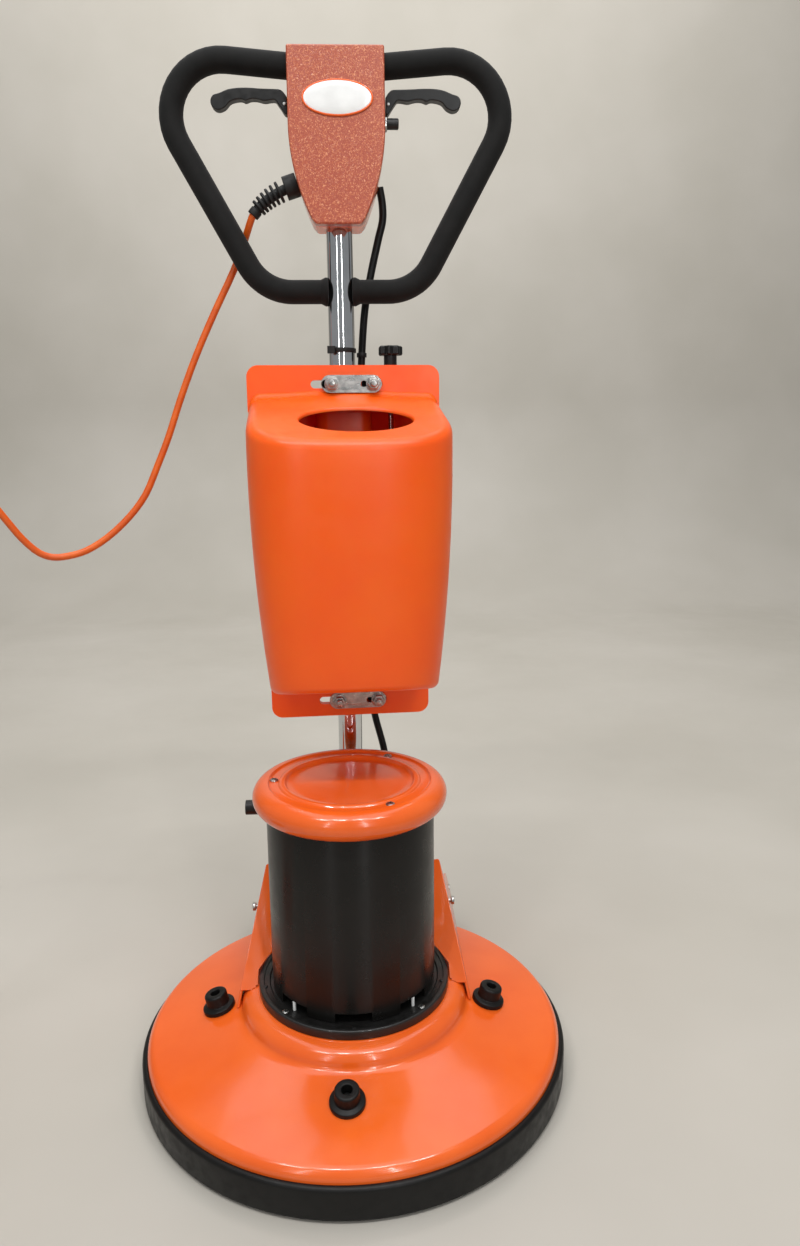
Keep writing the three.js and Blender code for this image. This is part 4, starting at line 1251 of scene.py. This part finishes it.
def tank_flange(name, half, bottom, top, low_r, high_r, z):
    """A fixing flange with a pair of slots at height z."""
    outline = rounded([
        (-half, bottom, low_r), (half, bottom, low_r), (half, top, high_r), (-half, top, high_r),
    ], 7)
    slots = [slot_outline(-38, -8, z), slot_outline(20, 44, z)]
    shape = plate(outline, slots, FLANGE_Y - POLE_Y, FLANGE_BACK - POLE_Y)
    return make(f"tank_flange_{name}", shape, "handle", TANK_PLASTIC, (), TANK, bevel=2.4, segments=4)


def make_clamp(name, z):
    """A strap in front of the flange with a spare hole and two nuts, and its saddle behind."""
    front = CLAMP_Y - POLE_Y
    bar = rectangle(-26, z - 9.8, 43, z + 9.8, 9.7, 9)
    spare = arc(22.5, z, 3.6, 0, 345, 23)
    make(f"clamp_strap_{name}", plate(bar, [spare], front, front + 4), "handle", STEEL,
         [f"clamp_bar_{name}"], TANK, bevel=0.6)
    for k, x in enumerate((-14, 33.5)):
        make(f"clamp_nut_{name}_{k + 1}", bolt(x, z, front), "handle", STEEL,
             [f"clamp_bolt_{name}_{k + 1}"], TANK)
    softened(f"clamp_saddle_{name}", "handle", CAST_BLACK, 1.0)


def make_tank():
    tank = make("tank_shell", tank_mesh(), "handle", TANK_PLASTIC, ["tank"], TANK, sharp=50)
    attach(tank_flange("upper", 110, 750, 802, 1, 13, 781), tank)
    make_clamp("upper", 781)
    attach(tank_flange("lower", 96, 387, 450, 13, 1, 406.5), tank)
    make_clamp("lower", 406.5)
    spout = lathe(rounded([(7, 404, 0.6), (12, 404, 1.2), (12, 425, 0), (7, 425, 0)], 4), 40)
    spout = shifted(spout, VALVE_X, VALVE_Y - POLE_Y)
    attach(make("tank_spout", spout, "handle", TANK_PLASTIC, (), TANK), tank)


def make_valve():
    """The star knob, its neck and the rod down through the tank to the plug."""
    outline = []
    for i in range(140):
        a = 2 * pi * i / 140
        r = 13 + 1.5 * cos(7 * a)
        outline.append((r * cos(a), r * sin(a)))
    place = TANK @ at(VALVE_X, VALVE_Y - POLE_Y)
    knob = make("valve_star", prism(outline, 815, 826), "valve_handle", MOULDED, ["valve_knob"], place,
                bevel=2.4, segments=4)
    neck = rounded([
        (0, 790, 0), (6.8, 790, 0.8), (6.8, 803, 0.5), (7.6, 804, 0.6), (7.6, 815.5, 0), (0, 815.5, 0),
    ], 3)
    attach(make("valve_neck", lathe(neck, 40), "valve_handle", MOULDED, (), place), knob)
    rod = rounded([(0, 442, 0), (3, 442, 0.6), (3, 790.5, 0), (0, 790.5, 0)], 3)
    attach(make("valve_rod", lathe(rod, 24), "valve_handle", STEEL, (), place), knob)


make_tank()
make_valve()


# ---------- motor cable ----------
CABLE_RADIUS = 4.4

UPPER_CABLE = [
    (47, 160.5, 1003), (50, 162, 985), (50, 162, 968), (45, 162, 948), (36, 162, 911),
    (28, 163, 871), (23, 164, 816), (21, 164, 770), (20, 164, 600), (21, 164, 440),
    (31, 163, 372), (43, 158, 322), (50, 146, 270), (50, 133, 225), (50, 131, 205), (50, 131, 195),
]
LOWER_CABLE = [
    (50, 131, 194.9), (50, 131, 188), (50, 131, 180), (50, 128.6, 167.8), (50, 121.6, 157.4),
    (50, 111.2, 150.4), (50, 104, 148.2), (50, 97.4, 148), (50, 90, 148),
]


def cable(points):
    return sweep(smooth_path(points, 8), CABLE_RADIUS, 16)


def make_motor_cable():
    """One length fixed to the pole, and a curved tail, left on no body, where the pole tilts."""
    make("motor_flex", cable(UPPER_CABLE), "handle", CABLE_BLACK, ["motor_cable"], sharp=60)
    tail = place_mesh("motor_flex_tail", cable(LOWER_CABLE), MACHINE)
    finish_mesh(tail, CABLE_BLACK, sharp=60)
    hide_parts("motor_cable_tail")
    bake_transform(tail)


make_motor_cable()


# ---------- floor, backdrop and light ----------
def make_backdrop():
    profile = [(-6, 0), (2.6, 0)] + arc(2.6, 0.9, 0.9, -84, 0, 14) + [(3.5, 5)]
    vertices, faces = [], []
    for x in (-7, 7):
        vertices += [(x, y, z) for y, z in profile]
    count = len(profile)
    for i in range(count - 1):
        faces.append((i, i + 1, count + i + 1, count + i))
    backdrop = place_mesh("backdrop", (vertices, faces), Matrix())
    finish_mesh(backdrop, floor_finish(), sharp=60)


def area_light(name, spot, aim, width, depth, power):
    data = bpy.data.lights.new(name, "AREA")
    data.shape = "RECTANGLE"
    data.size = width
    data.size_y = depth
    data.energy = power
    lamp = new_object(name, data)
    lamp.location = spot
    lamp.rotation_euler = (Vector(aim) - Vector(spot)).to_track_quat("-Z", "Y").to_euler()
    return lamp


def make_light():
    area_light("top_soft", (0, 0.5, 3.2), (0, 0.1, 0), 3.0, 3.0, 46)
    wash = area_light("backdrop_wash", (0, 1.9, 3.6), (0, 3.4, 1.3), 4.0, 0.6, 84)
    wash.visible_glossy = False
    for x in (-1.05, -0.35, 0.35, 1.05):
        area_light("ceiling_panel", (x, -1.1, 2.6), (0.5 * x, -0.2, 0.3), 0.42, 0.07, 9.5)
    for label, x, power in (("left", -1.05, 8), ("right", 0.68, 12)):
        area_light(f"front_strip_{label}", (x, -2.2, 1.5), (0, 0, 0.4), 0.05, 1.9, power)
    world = bpy.data.worlds.new("studio")
    world.use_nodes = True
    set_inputs(world.node_tree.nodes["Background"], {"Color": (0.86, 0.88, 0.9, 1), "Strength": 0.34})
    bpy.context.scene.world = world


make_backdrop()
make_light()
